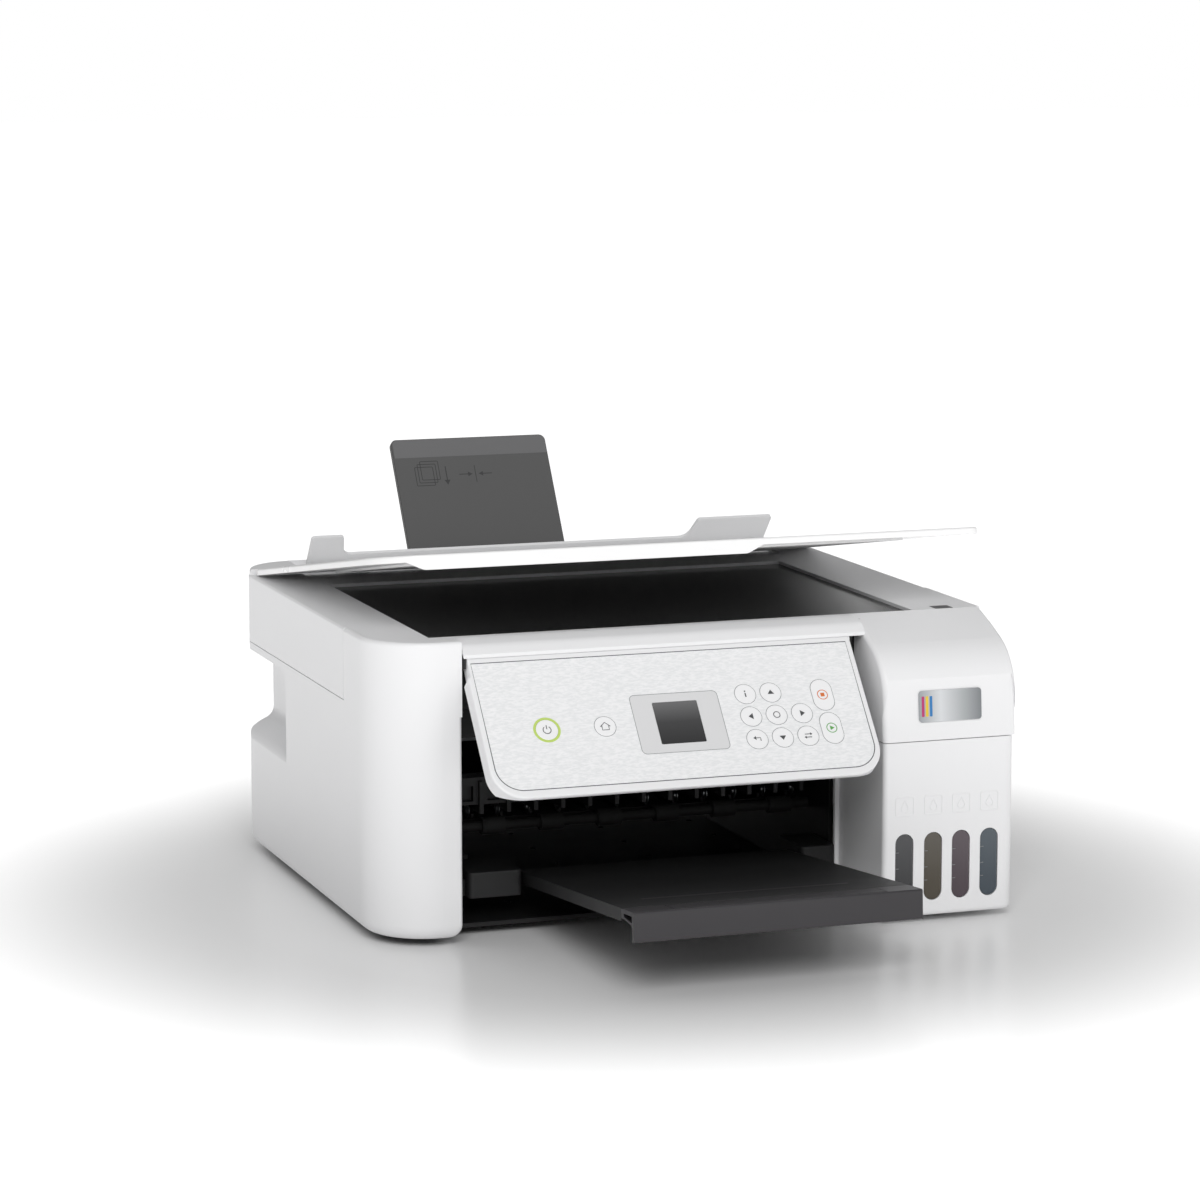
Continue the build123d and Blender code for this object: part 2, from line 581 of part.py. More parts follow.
badge_x, badge_z = (126.2, 165.4), (118.4, 136.6)
badge_tilt = 4.48                   # the cover's front leans back by this angle
with BuildPart() as tank_badge:
    with BuildSketch(leaning(-128.55, 127.5, badge_tilt)):
        with Locations(((badge_x[0] + badge_x[1]) / 2, 0)):
            RectangleRounded(badge_x[1] - badge_x[0], badge_z[1] - badge_z[0], 2.0)
    extrude(amount=0.7)
finish(tank_badge, "tank_badge")

# ---- document cover -----------------------------------------------------------------------
lid_plane = sloping(*lid_pivot, lid_open)
lip_left, lip_right = -168.0, 50.0      # the deep part of the front edge, to lift the cover by
lip_drop = 4.6
with BuildPart() as lid_lip:
    with BuildSketch(lid_plane.offset(-1.0 - lip_drop)) as lid_face:
        with BuildLine():
            FilletPolyline((-lid_half, -lid_length), (lid_half, -lid_length), (lid_half, 0.3),
                           (-lid_half, 0.3), radius=[32, 6, 3, 3], close=True)
        make_face()
    extrude(amount=lip_drop + 1)
    with BuildSketch(lid_plane.offset(-2.0 - lip_drop)):
        add(lid_face.sketch_local)
        offset(amount=-2.4, kind=Kind.INTERSECTION)
    extrude(amount=lip_drop + 3, mode=Mode.SUBTRACT)
    with BuildSketch(Plane(origin=(0, *lid_pivot), x_dir=(1, 0, 0), z_dir=-lid_plane.y_dir).offset(251)):
        with BuildLine():
            FilletPolyline((lip_left, 0), (lip_left + 12, -1.0 - lip_drop), (lip_right - 12, -1.0 - lip_drop),
                           (lip_right, 0), radius=[0, 7, 7, 0], close=True)
        make_face()
    extrude(amount=30, mode=Mode.INTERSECT)
with BuildPart() as lid_shell:
    with BuildSketch(lid_plane.offset(-1.0)):
        add(lid_face.sketch_local)
    extrude(amount=lid_thick)
    fillet(lid_shell.faces().sort_by(Axis((0, 0, 0), lid_plane.z_dir))[-1].edges(), radius=1.4)
    add(lid_lip.part)
    # seat of the white mat
    with BuildSketch(lid_plane.offset(-1.0)):
        with Locations((-3.6, -153.5)):
            RectangleRounded(291, 203, 2)
    extrude(amount=1.6, mode=Mode.SUBTRACT)
    # hinge barrels at the back
    for x in (-120.0, 112.0):
        with Locations(Location((x, *lid_pivot), (0, 90, 0))):
            Cylinder(1.9, 16)
            Cylinder(0.9, 16.2, mode=Mode.SUBTRACT)
finish(lid_shell, "lid_shell")

with BuildPart() as document_mat:
    with BuildSketch(lid_plane.offset(-2.4)):
        with Locations((-3.6, -153.5)):
            RectangleRounded(290, 202, 2)
    extrude(amount=2.9)
finish(document_mat, "document_mat")

# ---- control panel ------------------------------------------------------------------------
panel_plane = leaning(panel_y, panel_z, panel_tilt)
overlay_low, overlay_high = 1.9, 84.2
overlay_left, overlay_right = -134.3, 92.8
round_keys = {
    "key_power": (-99.0, 47.1, 6.4),
    "key_home": (-64.7, 47.3, 6.2),
    "key_help": (23.0, 32.4, 6.2),
    "key_up": (38.5, 32.4, 6.2),
    "key_left": (23.1, 47.1, 6.2),
    "key_ok": (38.6, 47.1, 6.2),
    "key_right": (54.1, 47.1, 6.2),
    "key_back": (23.2, 61.9, 6.2),
    "key_down": (38.7, 61.9, 6.2),
    "key_options": (54.2, 61.9, 6.2),
}
long_keys = {"key_stop": (69.5, 36.1), "key_start": (69.6, 57.9)}
long_key_size = (12.5, 20.0)
key_gap = 0.25
lcd_box = (-46.7, 6.2, 28.6, 66.7)
lcd_screen = (-20.5, 47.6, 27.0)


def key_faces(grow):
    """The outlines of all twelve keys on the present sketch plane."""
    for x, down, radius in round_keys.values():
        with Locations((x, -down)):
            Circle(radius + grow)
    for x, down in long_keys.values():
        with Locations((x, -down)):
            SlotOverall(long_key_size[1] + 2 * grow, long_key_size[0] + 2 * grow, rotation=90)


with BuildPart() as panel_shell:
    with BuildSketch(panel_plane):
        with BuildLine():
            FilletPolyline((panel_left - 1.8, -panel_height), (panel_right, -panel_height), (panel_right, 1.9),
                           (panel_left, 1.9), (panel_left, -9), (panel_left - 1.8, -11),
                           radius=[19, 19, 0, 0, 0, 0], close=True)
        make_face()
    extrude(amount=-panel_thick)
    face_edges = panel_shell.faces().sort_by(Axis((0, 0, 0), panel_plane.z_dir))[-1].edges()
    fillet(face_edges.sort_by(Axis.Z)[:-1], radius=1.2)
    rod(panel_left, panel_right, panel_pivot, knuckle)
    # the bottom edge slants back under the face
    with BuildSketch(Plane(origin=(panel_left - 3, panel_y, panel_z), x_dir=panel_plane.y_dir,
                           z_dir=(1, 0, 0))):
        Polygon((-90.5, -2.4), (-89, -2.4), (-80.5, -10.5), (-90.5, -10.5), align=None)
    extrude(amount=panel_right - panel_left + 4, mode=Mode.SUBTRACT)
    with BuildSketch(panel_plane):
        with BuildLine():
            FilletPolyline((overlay_left, -overlay_high), (overlay_right, -overlay_high),
                           (overlay_right, -overlay_low), (overlay_left, -overlay_low),
                           radius=[15, 15, 1, 1], close=True)
        make_face()
    extrude(amount=-1.2, mode=Mode.SUBTRACT)
    with BuildSketch(panel_plane):
        with BuildLine():
            FilletPolyline((overlay_left + 3, -overlay_high + 3), (overlay_right - 3, -overlay_high + 3),
                           (overlay_right - 3, -overlay_low - 6), (overlay_left + 3, -overlay_low - 6),
                           radius=[12, 12, 2, 2], close=True)
        make_face()
    extrude(amount=-(panel_thick - 2.0), mode=Mode.SUBTRACT)
    # the hollow stops short of the hinge bores
    for x_low, x_high in ((panel_left - 1, panel_left + 8.5), (panel_right - 8.5, panel_right + 1)):
        rod(x_low, x_high, panel_pivot, 1.56, Mode.SUBTRACT)
finish(panel_shell, "panel_shell")

with BuildPart() as panel_overlay:
    with BuildSketch(panel_plane.offset(-1.15)):
        with BuildLine():
            FilletPolyline((overlay_left + 0.1, -overlay_high + 0.1), (overlay_right - 0.1, -overlay_high + 0.1),
                           (overlay_right - 0.1, -overlay_low - 0.1), (overlay_left + 0.1, -overlay_low - 0.1),
                           radius=[15, 15, 1, 1], close=True)
        make_face()
        with Locations(((lcd_box[0] + lcd_box[1]) / 2, -(lcd_box[2] + lcd_box[3]) / 2)):
            RectangleRounded(lcd_box[1] - lcd_box[0], lcd_box[3] - lcd_box[2], 3, mode=Mode.SUBTRACT)
    extrude(amount=1.15)
    with BuildSketch(panel_plane.offset(1)):
        key_faces(key_gap)
    extrude(amount=-4, mode=Mode.SUBTRACT)
finish(panel_overlay, "panel_overlay")

with BuildPart() as lcd_module:
    with BuildSketch(panel_plane.offset(-5.0)):
        with Locations(((lcd_box[0] + lcd_box[1]) / 2, -(lcd_box[2] + lcd_box[3]) / 2)):
            RectangleRounded(lcd_box[1] - lcd_box[0] - 0.2, lcd_box[3] - lcd_box[2] - 0.2, 3)
    extrude(amount=5.0)
    with BuildSketch(panel_plane.offset(0.1)):
        with Locations((lcd_screen[0], -lcd_screen[1])):
            RectangleRounded(lcd_screen[2], lcd_screen[2], 0.8)
    extrude(amount=-0.6, mode=Mode.SUBTRACT)
finish(lcd_module, "lcd_module")

key_height = 4.2
key_proud = 0.3
for name, (x, down, radius) in round_keys.items():
    with BuildPart() as key:
        with BuildSketch(panel_plane.offset(key_proud - key_height)):
            with Locations((x, -down)):
                Circle(radius)
        extrude(amount=key_height)
        fillet(key.faces().sort_by(Axis((0, 0, 0), panel_plane.z_dir))[-1].edges(), radius=0.25)
    finish(key, name)
for name, (x, down) in long_keys.items():
    with BuildPart() as key:
        with BuildSketch(panel_plane.offset(key_proud - key_height)):
            with Locations((x, -down)):
                SlotOverall(long_key_size[1], long_key_size[0], rotation=90)
        extrude(amount=key_height)
        fillet(key.faces().sort_by(Axis((0, 0, 0), panel_plane.z_dir))[-1].edges(), radius=0.25)
    finish(key, name)

# ---- output tray --------------------------------------------------------------------------
tray_plane = sloping(tray_y, tray_z, tray_slope)
tray_thick = 7.0
lip_height = 16.5


def tray_profile(x_low, x_high, points, radii=0, mode=Mode.ADD):
    """An outline in the tray's own lengthways plane, (distance back, height), drawn out along X."""
    rounding = radii if isinstance(radii, (list, tuple)) else [radii] * len(points)
    side_plane = Plane(origin=(x_low, tray_y, tray_z), x_dir=tray_plane.y_dir, z_dir=(1, 0, 0))
    with BuildSketch(side_plane) as face:
        with BuildLine():
            FilletPolyline(*points, radius=rounding, close=True)
        make_face()
    extrude(face.sketch, amount=x_high - x_low, mode=mode)


with BuildPart() as tray_plate:
    tray_profile(tray_left, tray_right, [(lip_depth + 0.4, -tray_thick), (tray_length, -tray_thick),
                                         (tray_length, 0), (lip_depth + 0.4, 0)])
    fillet(tray_plate.edges().filter_by(Axis.X).sort_by(Axis.Z)[-1:], radius=0.4)
    tray_profile(tray_left + 3, tray_right - 3, [(lip_depth - 1, -tray_thick - 1), (tray_length - 6, -tray_thick - 1),
                                                 (tray_length - 6, -2.4), (lip_depth - 1, -2.4)],
                 0, Mode.SUBTRACT)
finish(tray_plate, "tray_plate")

with BuildPart() as tray_extension:
    # flat blade inside the tray
    tray_profile(tray_left + 4, tray_right - 4, [(lip_depth - 4, -5.4), (tray_length - 40, -5.4),
                                                 (tray_length - 40, -2.9), (lip_depth - 4, -2.9)])
    # channel-shaped front lip, open at its two ends
    tray_profile(tray_left, tray_right, [(0, 0), (0.8, -lip_height), (3.6, -lip_height),
                                         (3.4, -7.5), (lip_depth - 5, -5.4), (lip_depth, -5.4), (lip_depth, 0)],
                 [1.2, 0.8, 0.6, 3, 2, 0, 0.4])
    tray_profile(tray_left - 1, tray_right + 1, [(3.2, -2.4), (3.4, -6.2), (lip_depth - 5, -4.2),
                                                 (lip_depth - 3.0, -2.4)], [0.5, 0.5, 0.5, 0.5], Mode.SUBTRACT)
    # recess that the stopper folds into
    tray_profile(-66.4, 57.4, [(1.4, 1), (1.4, -2.0), (lip_depth - 2, -2.0), (lip_depth - 2, 1)],
                 0, Mode.SUBTRACT)
finish(tray_extension, "tray_extension")

with BuildPart() as tray_stopper:
    tray_profile(-66.0, 57.0, [(3.4, -1.7), (lip_depth - 2.6, -1.7), (lip_depth - 2.6, 0), (3.4, 0)])
    side_plane = Plane(origin=(-66.0, tray_y, tray_z), x_dir=tray_plane.y_dir, z_dir=(1, 0, 0))
    with BuildSketch(side_plane):
        with Locations((3.0, -0.9)):
            Circle(0.9)
    extrude(amount=123.0)
finish(tray_stopper, "tray_stopper")

# ---- rear paper feeder --------------------------------------------------------------------
support_plane = leaning(support_y, support_z, support_lean)
support_width = support_right - support_left
support_mid = (support_left + support_right) / 2
with BuildPart() as paper_support:
    with BuildSketch(support_plane):
        with BuildLine():
            FilletPolyline((support_left, -100), (support_right, -100), (support_right, 0), (support_left, 0),
                           radius=[2, 2, 4, 4], close=True)
        make_face()
    extrude(amount=-support_thick)
    # stiffening hollow in the back
    with BuildSketch(support_plane.offset(-support_thick)):
        with Locations((support_mid, -52)):
            RectangleRounded(support_width - 8, 84, 3)
    extrude(amount=1.5, mode=Mode.SUBTRACT)
finish(paper_support, "paper_support")

guide_plane = leaning(support_y, support_z, support_lean)
guide_thick = 2.2
for name, x, outward in (("edge_guide_left", paper_centre - 107.0, -1), ("edge_guide_right",
                                                                         paper_centre + 107.0, 1)):
    with BuildPart() as edge_guide:
        inner = x
        outer = x + outward * guide_thick
        foot = x + outward * 9.0
        with BuildSketch(guide_plane.offset(-3.2)):
            with Locations(((inner + outer) / 2, -112)):
                Rectangle(guide_thick, 40)
        extrude(amount=11.0)
        with BuildSketch(guide_plane.offset(-3.2)):
            with Locations(((inner + foot) / 2, -112)):
                Rectangle(9.0, 30)
        extrude(amount=2.0)
    finish(edge_guide, name)

guard_plane = Plane(origin=(0, *guard_pivot), x_dir=(1, 0, 0),
                    z_dir=(0, -cos(radians(guard_lean)), -sin(radians(guard_lean))))
guard_left, guard_right = -146.0, 148.5
ear_top, band_top = 26.5, 11.5
guard_thick = 2.2
with BuildPart() as feeder_guard:
    with BuildSketch(guard_plane.offset(-guard_thick / 2)):
        with BuildLine():
            FilletPolyline((guard_left - 5, 1.4), (guard_right + 5, 1.4), (guard_right + 7.5, ear_top),
                           (guard_right - 43, ear_top), (guard_right - 48, band_top),
                           (guard_left + 18, band_top), (guard_left + 16, ear_top), (guard_left - 4.5, ear_top),
                           radius=[0, 0, 2, 2.5, 8, 5, 2, 2], close=True)
        make_face()
    extrude(amount=guard_thick)
    rod(guard_left - 1.5, guard_right + 1.5, guard_pivot, 1.7)
    # clear of the hinge eyes, with a pin into each
    for x_low, x_high in ((-152.4, -147.6), (150.0, 154.8)):
        rod(x_low, x_high, guard_pivot, 2.4, Mode.SUBTRACT)
    rod(-151.8, -146.0, guard_pivot, 1.0)
    rod(148.0, 154.2, guard_pivot, 1.0)
finish(feeder_guard, "feeder_guard")
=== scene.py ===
import logging
from dataclasses import dataclass, field
from enum import Enum
from math import cos, hypot, pi, radians, sin
from typing import Any, Callable, Optional, Sequence

import bmesh
import bpy
from mathutils import Matrix, Vector


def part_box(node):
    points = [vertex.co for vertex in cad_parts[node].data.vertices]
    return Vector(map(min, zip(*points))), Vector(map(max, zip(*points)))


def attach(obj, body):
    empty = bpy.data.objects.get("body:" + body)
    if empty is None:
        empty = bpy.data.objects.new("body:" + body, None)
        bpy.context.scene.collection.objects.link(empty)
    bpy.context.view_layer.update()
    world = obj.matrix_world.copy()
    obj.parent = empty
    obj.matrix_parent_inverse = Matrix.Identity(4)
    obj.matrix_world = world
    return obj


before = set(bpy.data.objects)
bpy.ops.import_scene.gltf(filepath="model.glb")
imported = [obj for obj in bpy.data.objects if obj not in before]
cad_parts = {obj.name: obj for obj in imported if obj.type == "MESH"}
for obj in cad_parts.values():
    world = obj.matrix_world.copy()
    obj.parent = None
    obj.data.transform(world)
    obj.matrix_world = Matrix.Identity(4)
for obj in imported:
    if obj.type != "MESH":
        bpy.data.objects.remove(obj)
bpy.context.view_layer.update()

log = logging.getLogger("printer")
MM = 0.001
Point = tuple[float, float]
Place = tuple[float, float, float]


class Body(str, Enum):
    """The moving bodies of the printer that new pieces ride on."""

    BASE = "base"
    SCANNER = "scanner_unit"
    PANEL = "control_panel"
    SUPPORT = "paper_support"
    TRAY = "tray_plate"


def linear(code: str, alpha: float = 1.0) -> tuple[float, float, float, float]:
    """Turn an sRGB hex colour into Blender's linear values.

    Args:
        code: Six hex digits with a leading #.
        alpha: Opacity.

    Returns:
        Red, green, blue and alpha.
    """
    channels = [int(code[i:i + 2], 16) / 255 for i in (1, 3, 5)]
    red, green, blue = [c / 12.92 if c <= 0.04045 else ((c + 0.055) / 1.055) ** 2.4 for c in channels]
    return red, green, blue, alpha


# ---- materials ----------------------------------------------------------------------------
class Graph:
    """A material's node tree, with one call that adds a node, its settings and its links."""

    def __init__(self, name: str) -> None:
        """Start a material that holds a principled shader and its output."""
        self.material = bpy.data.materials.new(name)
        self.material.use_nodes = True
        self.tree = self.material.node_tree
        self.tree.nodes.clear()
        self.shader = self.add("ShaderNodeBsdfPrincipled")
        out = self.add("ShaderNodeOutputMaterial")
        self.tree.links.new(self.shader.outputs["BSDF"], out.inputs["Surface"])

    def add(self, kind: str, settings: Optional[dict[str, Any]] = None, **sockets: Any) -> bpy.types.Node:
        """Add a node.

        Args:
            kind: The node's type name.
            settings: Properties of the node itself.
            sockets: Input values, or output sockets to link, by the input's name with _ for a space.

        Returns:
            The new node.
        """
        node = self.tree.nodes.new(kind)
        for key, value in (settings or {}).items():
            setattr(node, key, value)
        self.put(node, **sockets)
        return node

    def put(self, node: bpy.types.Node, **sockets: Any) -> None:
        """Set or link inputs of a node, named with _ for a space or by a leading i and an index."""
        for key, value in sockets.items():
            if key[0] == "i" and key[1:].isdigit():
                socket = node.inputs[int(key[1:])]
            else:
                socket = node.inputs[key.replace("_", " ")]
            if isinstance(value, bpy.types.NodeSocket):
                self.tree.links.new(value, socket)
            else:
                socket.default_value = value

    def ramp(self, factor: bpy.types.NodeSocket, stops: Sequence[tuple[float, str]]) -> bpy.types.NodeSocket:
        """Map a value to colours.

        Args:
            factor: The value, from 0 to 1.
            stops: Positions and hex colours.

        Returns:
            The colour output.
        """
        node = self.add("ShaderNodeValToRGB", i0=factor)
        elements = node.color_ramp.elements
        while len(elements) < len(stops):
            elements.new(0.5)
        for element, (position, code) in zip(elements, stops):
            element.position = position
            element.color = linear(code)
        return node.outputs["Color"]

    def span(self, value: bpy.types.NodeSocket, low: float, high: float) -> bpy.types.NodeSocket:
        """Bring a value between low and high to 0 to 1, clamped."""
        node = self.add("ShaderNodeMapRange", i0=value, i1=low, i2=high)
        return node.outputs[0]

    def axis(self, name: str) -> bpy.types.NodeSocket:
        """One of the object's own coordinates, in metres."""
        place = self.add("ShaderNodeTexCoord").outputs["Object"]
        return self.add("ShaderNodeSeparateXYZ", i0=place).outputs[name]

    def bump(self, height: bpy.types.NodeSocket, depth: float, strength: float = 1.0) -> None:
        """Roughen the surface by a height pattern of the given depth in millimetres."""
        node = self.add("ShaderNodeBump", Height=height, Distance=depth * MM, Strength=strength)
        self.put(self.shader, Normal=node.outputs["Normal"])

    def speckle(self, size: float, stretch: Place = (1, 1, 1), turn: float = 0.0,
                detail: float = 2.0) -> bpy.types.NodeSocket:
        """A cloudy pattern on the object's own coordinates.

        Args:
            size: Feature size in millimetres.
            stretch: How many times finer it is along each axis.
            turn: Turn about X in degrees before it is stretched.
            detail: Octaves of finer noise.

        Returns:
            The pattern's value, about 0.5.
        """
        place = self.add("ShaderNodeTexCoord").outputs["Object"]
        moved = self.add("ShaderNodeMapping", Vector=place, Rotation=(radians(turn), 0, 0), Scale=stretch)
        noise = self.add("ShaderNodeTexNoise", Vector=moved.outputs["Vector"], Scale=1 / (size * MM),
                         Detail=detail)
        return noise.outputs[0]


@dataclass(frozen=True)
class Finish:
    """A surface: its colour, its gloss and the fine texture that its making left."""

    name: str
    colour: str
    roughness: float = 0.45
    grain: float = 0.6          # size of the moulded texture, mm
    depth: float = 0.006        # its depth, mm
    metallic: float = 0.0
    coat: float = 0.0
    glow: float = 0.0
    mottle: float = 0.04        # how much the gloss varies over the surface

    def build(self) -> bpy.types.Material:
        """Make the material."""
        graph = Graph(self.name)
        graph.put(graph.shader, Base_Color=linear(self.colour), Metallic=self.metallic, Coat_Weight=self.coat,
                  Coat_Roughness=0.12)
        if self.glow:
            graph.put(graph.shader, Emission_Color=linear(self.colour), Emission_Strength=self.glow)
        if self.mottle:
            cloud = graph.speckle(24.0)
            rough = graph.add("ShaderNodeMapRange", i0=cloud, i3=self.roughness - self.mottle,
                              i4=self.roughness + self.mottle)
            graph.put(graph.shader, Roughness=rough.outputs[0])
        else:
            graph.put(graph.shader, Roughness=self.roughness)
        if self.depth:
            graph.bump(graph.speckle(self.grain), self.depth)
        self.dress(graph)
        graph.material.diffuse_color = linear(self.colour)
        return graph.material

    def dress(self, graph: Graph) -> None:
        """Add what this finish has beyond the plain one."""


@dataclass(frozen=True)
class SlopingFade(Finish):
    """A colour that changes along one axis of the object, in millimetres."""

    axis: str = "Z"
    low: float = 0.0
    high: float = 1.0
    stops: tuple[tuple[float, str], ...] = ()

    def dress(self, graph: Graph) -> None:
        """Colour the surface along the axis."""
        factor = graph.span(graph.axis(self.axis), self.low * MM, self.high * MM)
        graph.put(graph.shader, Base_Color=graph.ramp(factor, self.stops))


@dataclass(frozen=True)
class GrainedFilm(Finish):
    """Printed polyester film with long wavy grain lines across the tilted panel."""

    tilt: float = 40.0
    dark: str = "#E9EAEB"
    light: str = "#F5F5F6"

    def dress(self, graph: Graph) -> None:
        """Draw the grain lines and let them catch the light."""
        waves = graph.speckle(1.6, (0.4, 1.0, 1.3), self.tilt, 2.0)
        fine = graph.speckle(0.7, (0.3, 1.0, 1.0), self.tilt, 1.0)
        both = graph.add("ShaderNodeMath", {"operation": "ADD"}, i0=waves, i1=fine).outputs[0]
        factor = graph.span(both, 0.82, 1.2)
        graph.put(graph.shader, Base_Color=graph.ramp(factor, ((0.0, self.dark), (1.0, self.light))))
        graph.bump(both, 0.012, 0.4)


@dataclass(frozen=True)
class PaintedGlowPaper(Finish):
    """Studio paper that glows more away from the middle, painted light that makes it plain white there."""

    near: float = 240.0
    far: float = 520.0

    def dress(self, graph: Graph) -> None:
        """Let the glow grow with the distance from the middle, in millimetres."""
        place = graph.add("ShaderNodeTexCoord").outputs["Object"]
        reach = graph.add("ShaderNodeVectorMath", {"operation": "LENGTH"}, i0=place).outputs["Value"]
        glow = graph.add("ShaderNodeMapRange", {"interpolation_type": "SMOOTHSTEP"}, i0=reach, i1=self.near * MM,
                         i2=self.far * MM, i3=0.0, i4=0.75).outputs[0]
        graph.put(graph.shader, Emission_Color=linear(self.colour), Emission_Strength=glow)


@dataclass(frozen=True)
class BrushedMetal(Finish):
    """Rolled or brushed metal with fine scratches along X."""

    def dress(self, graph: Graph) -> None:
        """Stretch the noise into scratches."""
        graph.bump(graph.speckle(0.7, (0.04, 1, 1)), 0.01, 0.6)


# Injection-moulded ABS, satin: a soft, wide highlight and a very fine even texture.
WHITE_ABS = Finish("moulded_white_abs", "#EDEDEE", 0.42, 0.7, 0.008)
# The same ABS from a polished mould: smooth, with a sharper highlight.
COVER_ABS = Finish("polished_white_abs", "#F6F6F6", 0.28, depth=0.0, coat=0.25, mottle=0.015)
# Black moulded polystyrene inside the machine: matt and unlit.
BLACK_PS = Finish("moulded_black_polystyrene", "#131314", 0.5, 0.7, 0.006)
# Charcoal ABS of the tray: spark-eroded texture that scatters light.
TRAY_ABS = Finish("textured_charcoal_abs", "#1C1C1D", 0.52, 0.9, 0.015)
TRAY_LIP_ABS = Finish("satin_charcoal_abs", "#312F32", 0.44, 0.9, 0.01)
# Mid grey ABS of the paper support, its left edge painted near-black as shade.
SUPPORT_ABS = SlopingFade("textured_grey_abs", "#5F5F5F", 0.5, 0.9, 0.012, axis="X", low=-79.3, high=-78.3,
                          stops=((0.0, "#161616"), (1.0, "#595959")))
# A lighter copy of the support's grey: painted light on the band where its bent top edge catches the lamps.
SUPPORT_EDGE_PAINTED_LIGHT = Finish("bent_edge_grey_abs", "#6E6E6F", 0.48, 0.9, 0.01)
# Polished float glass over the dark scanner bed: a black mirror.
GLASS = Finish("float_glass_over_dark_bed", "#0B0B0C", 0.16, 1.0, 0.0, mottle=0.0)
# Printed and embossed polyester film on the panel.
FILM = GrainedFilm("grained_polyester_film", "#E2E3E4", 0.36, coat=0.1)
# Moulded ABS keys, slightly glossier than the body.
KEY_ABS = Finish("moulded_key_abs", "#F4F4F5", 0.3, 1.0, 0.003, coat=0.15)
# Screen-printed ink: matt, no texture.
KEY_INK = Finish("screen_printed_grey_ink", "#4A4B4D", 0.6, depth=0.0, mottle=0.0)
RIM_INK = Finish("screen_printed_light_grey_ink", "#8A8C8E", 0.6, depth=0.0, mottle=0.0)
LINE_INK = Finish("panel_edge_line", "#55565A", 0.5, depth=0.0, mottle=0.0)
STOP_INK = Finish("screen_printed_orange_ink", "#D8743A", 0.6, depth=0.0, mottle=0.0)
START_INK = Finish("screen_printed_green_ink", "#5FA652", 0.6, depth=0.0, mottle=0.0)
# Clear acrylic light guide, lit green.
LIME = Finish("lit_lime_acrylic", "#B7CE6A", 0.3, depth=0.0, glow=0.12, mottle=0.0)
# Glossy painted acrylic around the display.
BEZEL = Finish("painted_acrylic_bezel", "#DEDEDF", 0.2, depth=0.0, coat=0.4, mottle=0.0)
# Liquid crystal display behind glass, switched off; lighter towards its top, a painted reflection.
SCREEN = SlopingFade("lcd_glass", "#4A4A4A", 0.12, depth=0.0, coat=0.6, mottle=0.0, axis="Z", low=116.0,
                     high=138.0, stops=((0.0, "#242425"), (0.55, "#3E3E3F"), (1.0, "#6C6C6D")))
# White film on foam.
MAT = Finish("white_film_on_foam", "#EFEFEF", 0.6, 3.0, 0.02)
# Hot-stamped silver foil, banded lighter and darker across X as a painted reflection.
FOIL = SlopingFade("silver_foil_badge", "#C4C6C8", 0.32, 0.4, 0.004, metallic=0.65, axis="X", low=126.0,
                   high=165.5, stops=((0.0, "#9A9DA0"), (0.35, "#D2D4D6"), (0.7, "#A9ACAE"), (1.0, "#7E8184")))
BAR_MAGENTA = Finish("printed_magenta_bar", "#B8326E", 0.4, depth=0.0, mottle=0.0)
BAR_YELLOW = Finish("printed_yellow_bar", "#E5C33A", 0.4, depth=0.0, mottle=0.0)
BAR_BLUE = Finish("printed_blue_bar", "#2F79B5", 0.4, depth=0.0, mottle=0.0)
# Moulded rubber: dark, matt, slightly dusty.
RUBBER = Finish("moulded_rubber", "#1D1D1D", 0.78, 0.5, 0.01)
# Zinc-plated rolled steel.
STEEL = BrushedMetal("zinc_plated_steel", "#A5A8AA", 0.34, metallic=1.0)
# Unfilled acetal, waxy white.
ACETAL = Finish("machined_acetal", "#DAD7CC", 0.36, 0.8, 0.003)
# Solder resist over copper.
BOARD = Finish("green_solder_resist", "#1E5A35", 0.35, 1.2, 0.01)
# Black nylon wire case.
SUPPLY = Finish("black_polycarbonate_case", "#1B1B1C", 0.55, 0.8, 0.01)
# Printed marks on the charcoal and grey mouldings.
DARK_MARK = Finish("pad_printed_dark_grey_mark", "#3E3E3F", 0.6, depth=0.0, mottle=0.0)
# Painted shade: dark sheets laid in the vent slots and the data socket's well.
GROOVE = Finish("groove_in_shadow", "#151516", 0.7, depth=0.0, mottle=0.0)
MARKER = Finish("dark_alignment_marker", "#1C1C1D", 0.3, depth=0.0, mottle=0.0)
LEVEL_INK = Finish("moulded_level_mark", "#6F7072", 0.5, depth=0.0, mottle=0.0)
# Painted highlight: a lighter stroke along the edge of the tray's groove.
TRAY_GROOVE_HIGHLIGHT = Finish("tray_groove_edge", "#3B393C", 0.4, depth=0.0, mottle=0.0)
LABEL = Finish("blank_paper_label", "#D9DADB", 0.55, 0.3, 0.002)


def tank_finish(name: str, full: str, empty: str) -> SlopingFade:
    """Smoky polypropylene that shows its ink.

    Args:
        name: The finish's name.
        full: Colour below the ink's surface.
        empty: Colour above it.

    Returns:
        The finish.
    """
    return SlopingFade(name, full, 0.2, 2.0, 0.003, coat=0.5, axis="Z", low=12.0, high=55.0,
                       stops=((0.0, full), (0.3, full), (0.8, empty), (1.0, empty)))


TANKS = {
    "black": tank_finish("smoky_tank_black_ink", "#29292B", "#333437"),
    "yellow": tank_finish("smoky_tank_yellow_ink", "#403829", "#484237"),
    "magenta": tank_finish("smoky_tank_magenta_ink", "#40323A", "#473B42"),
    "cyan": tank_finish("smoky_tank_cyan_ink", "#323E48", "#3B4750"),
}


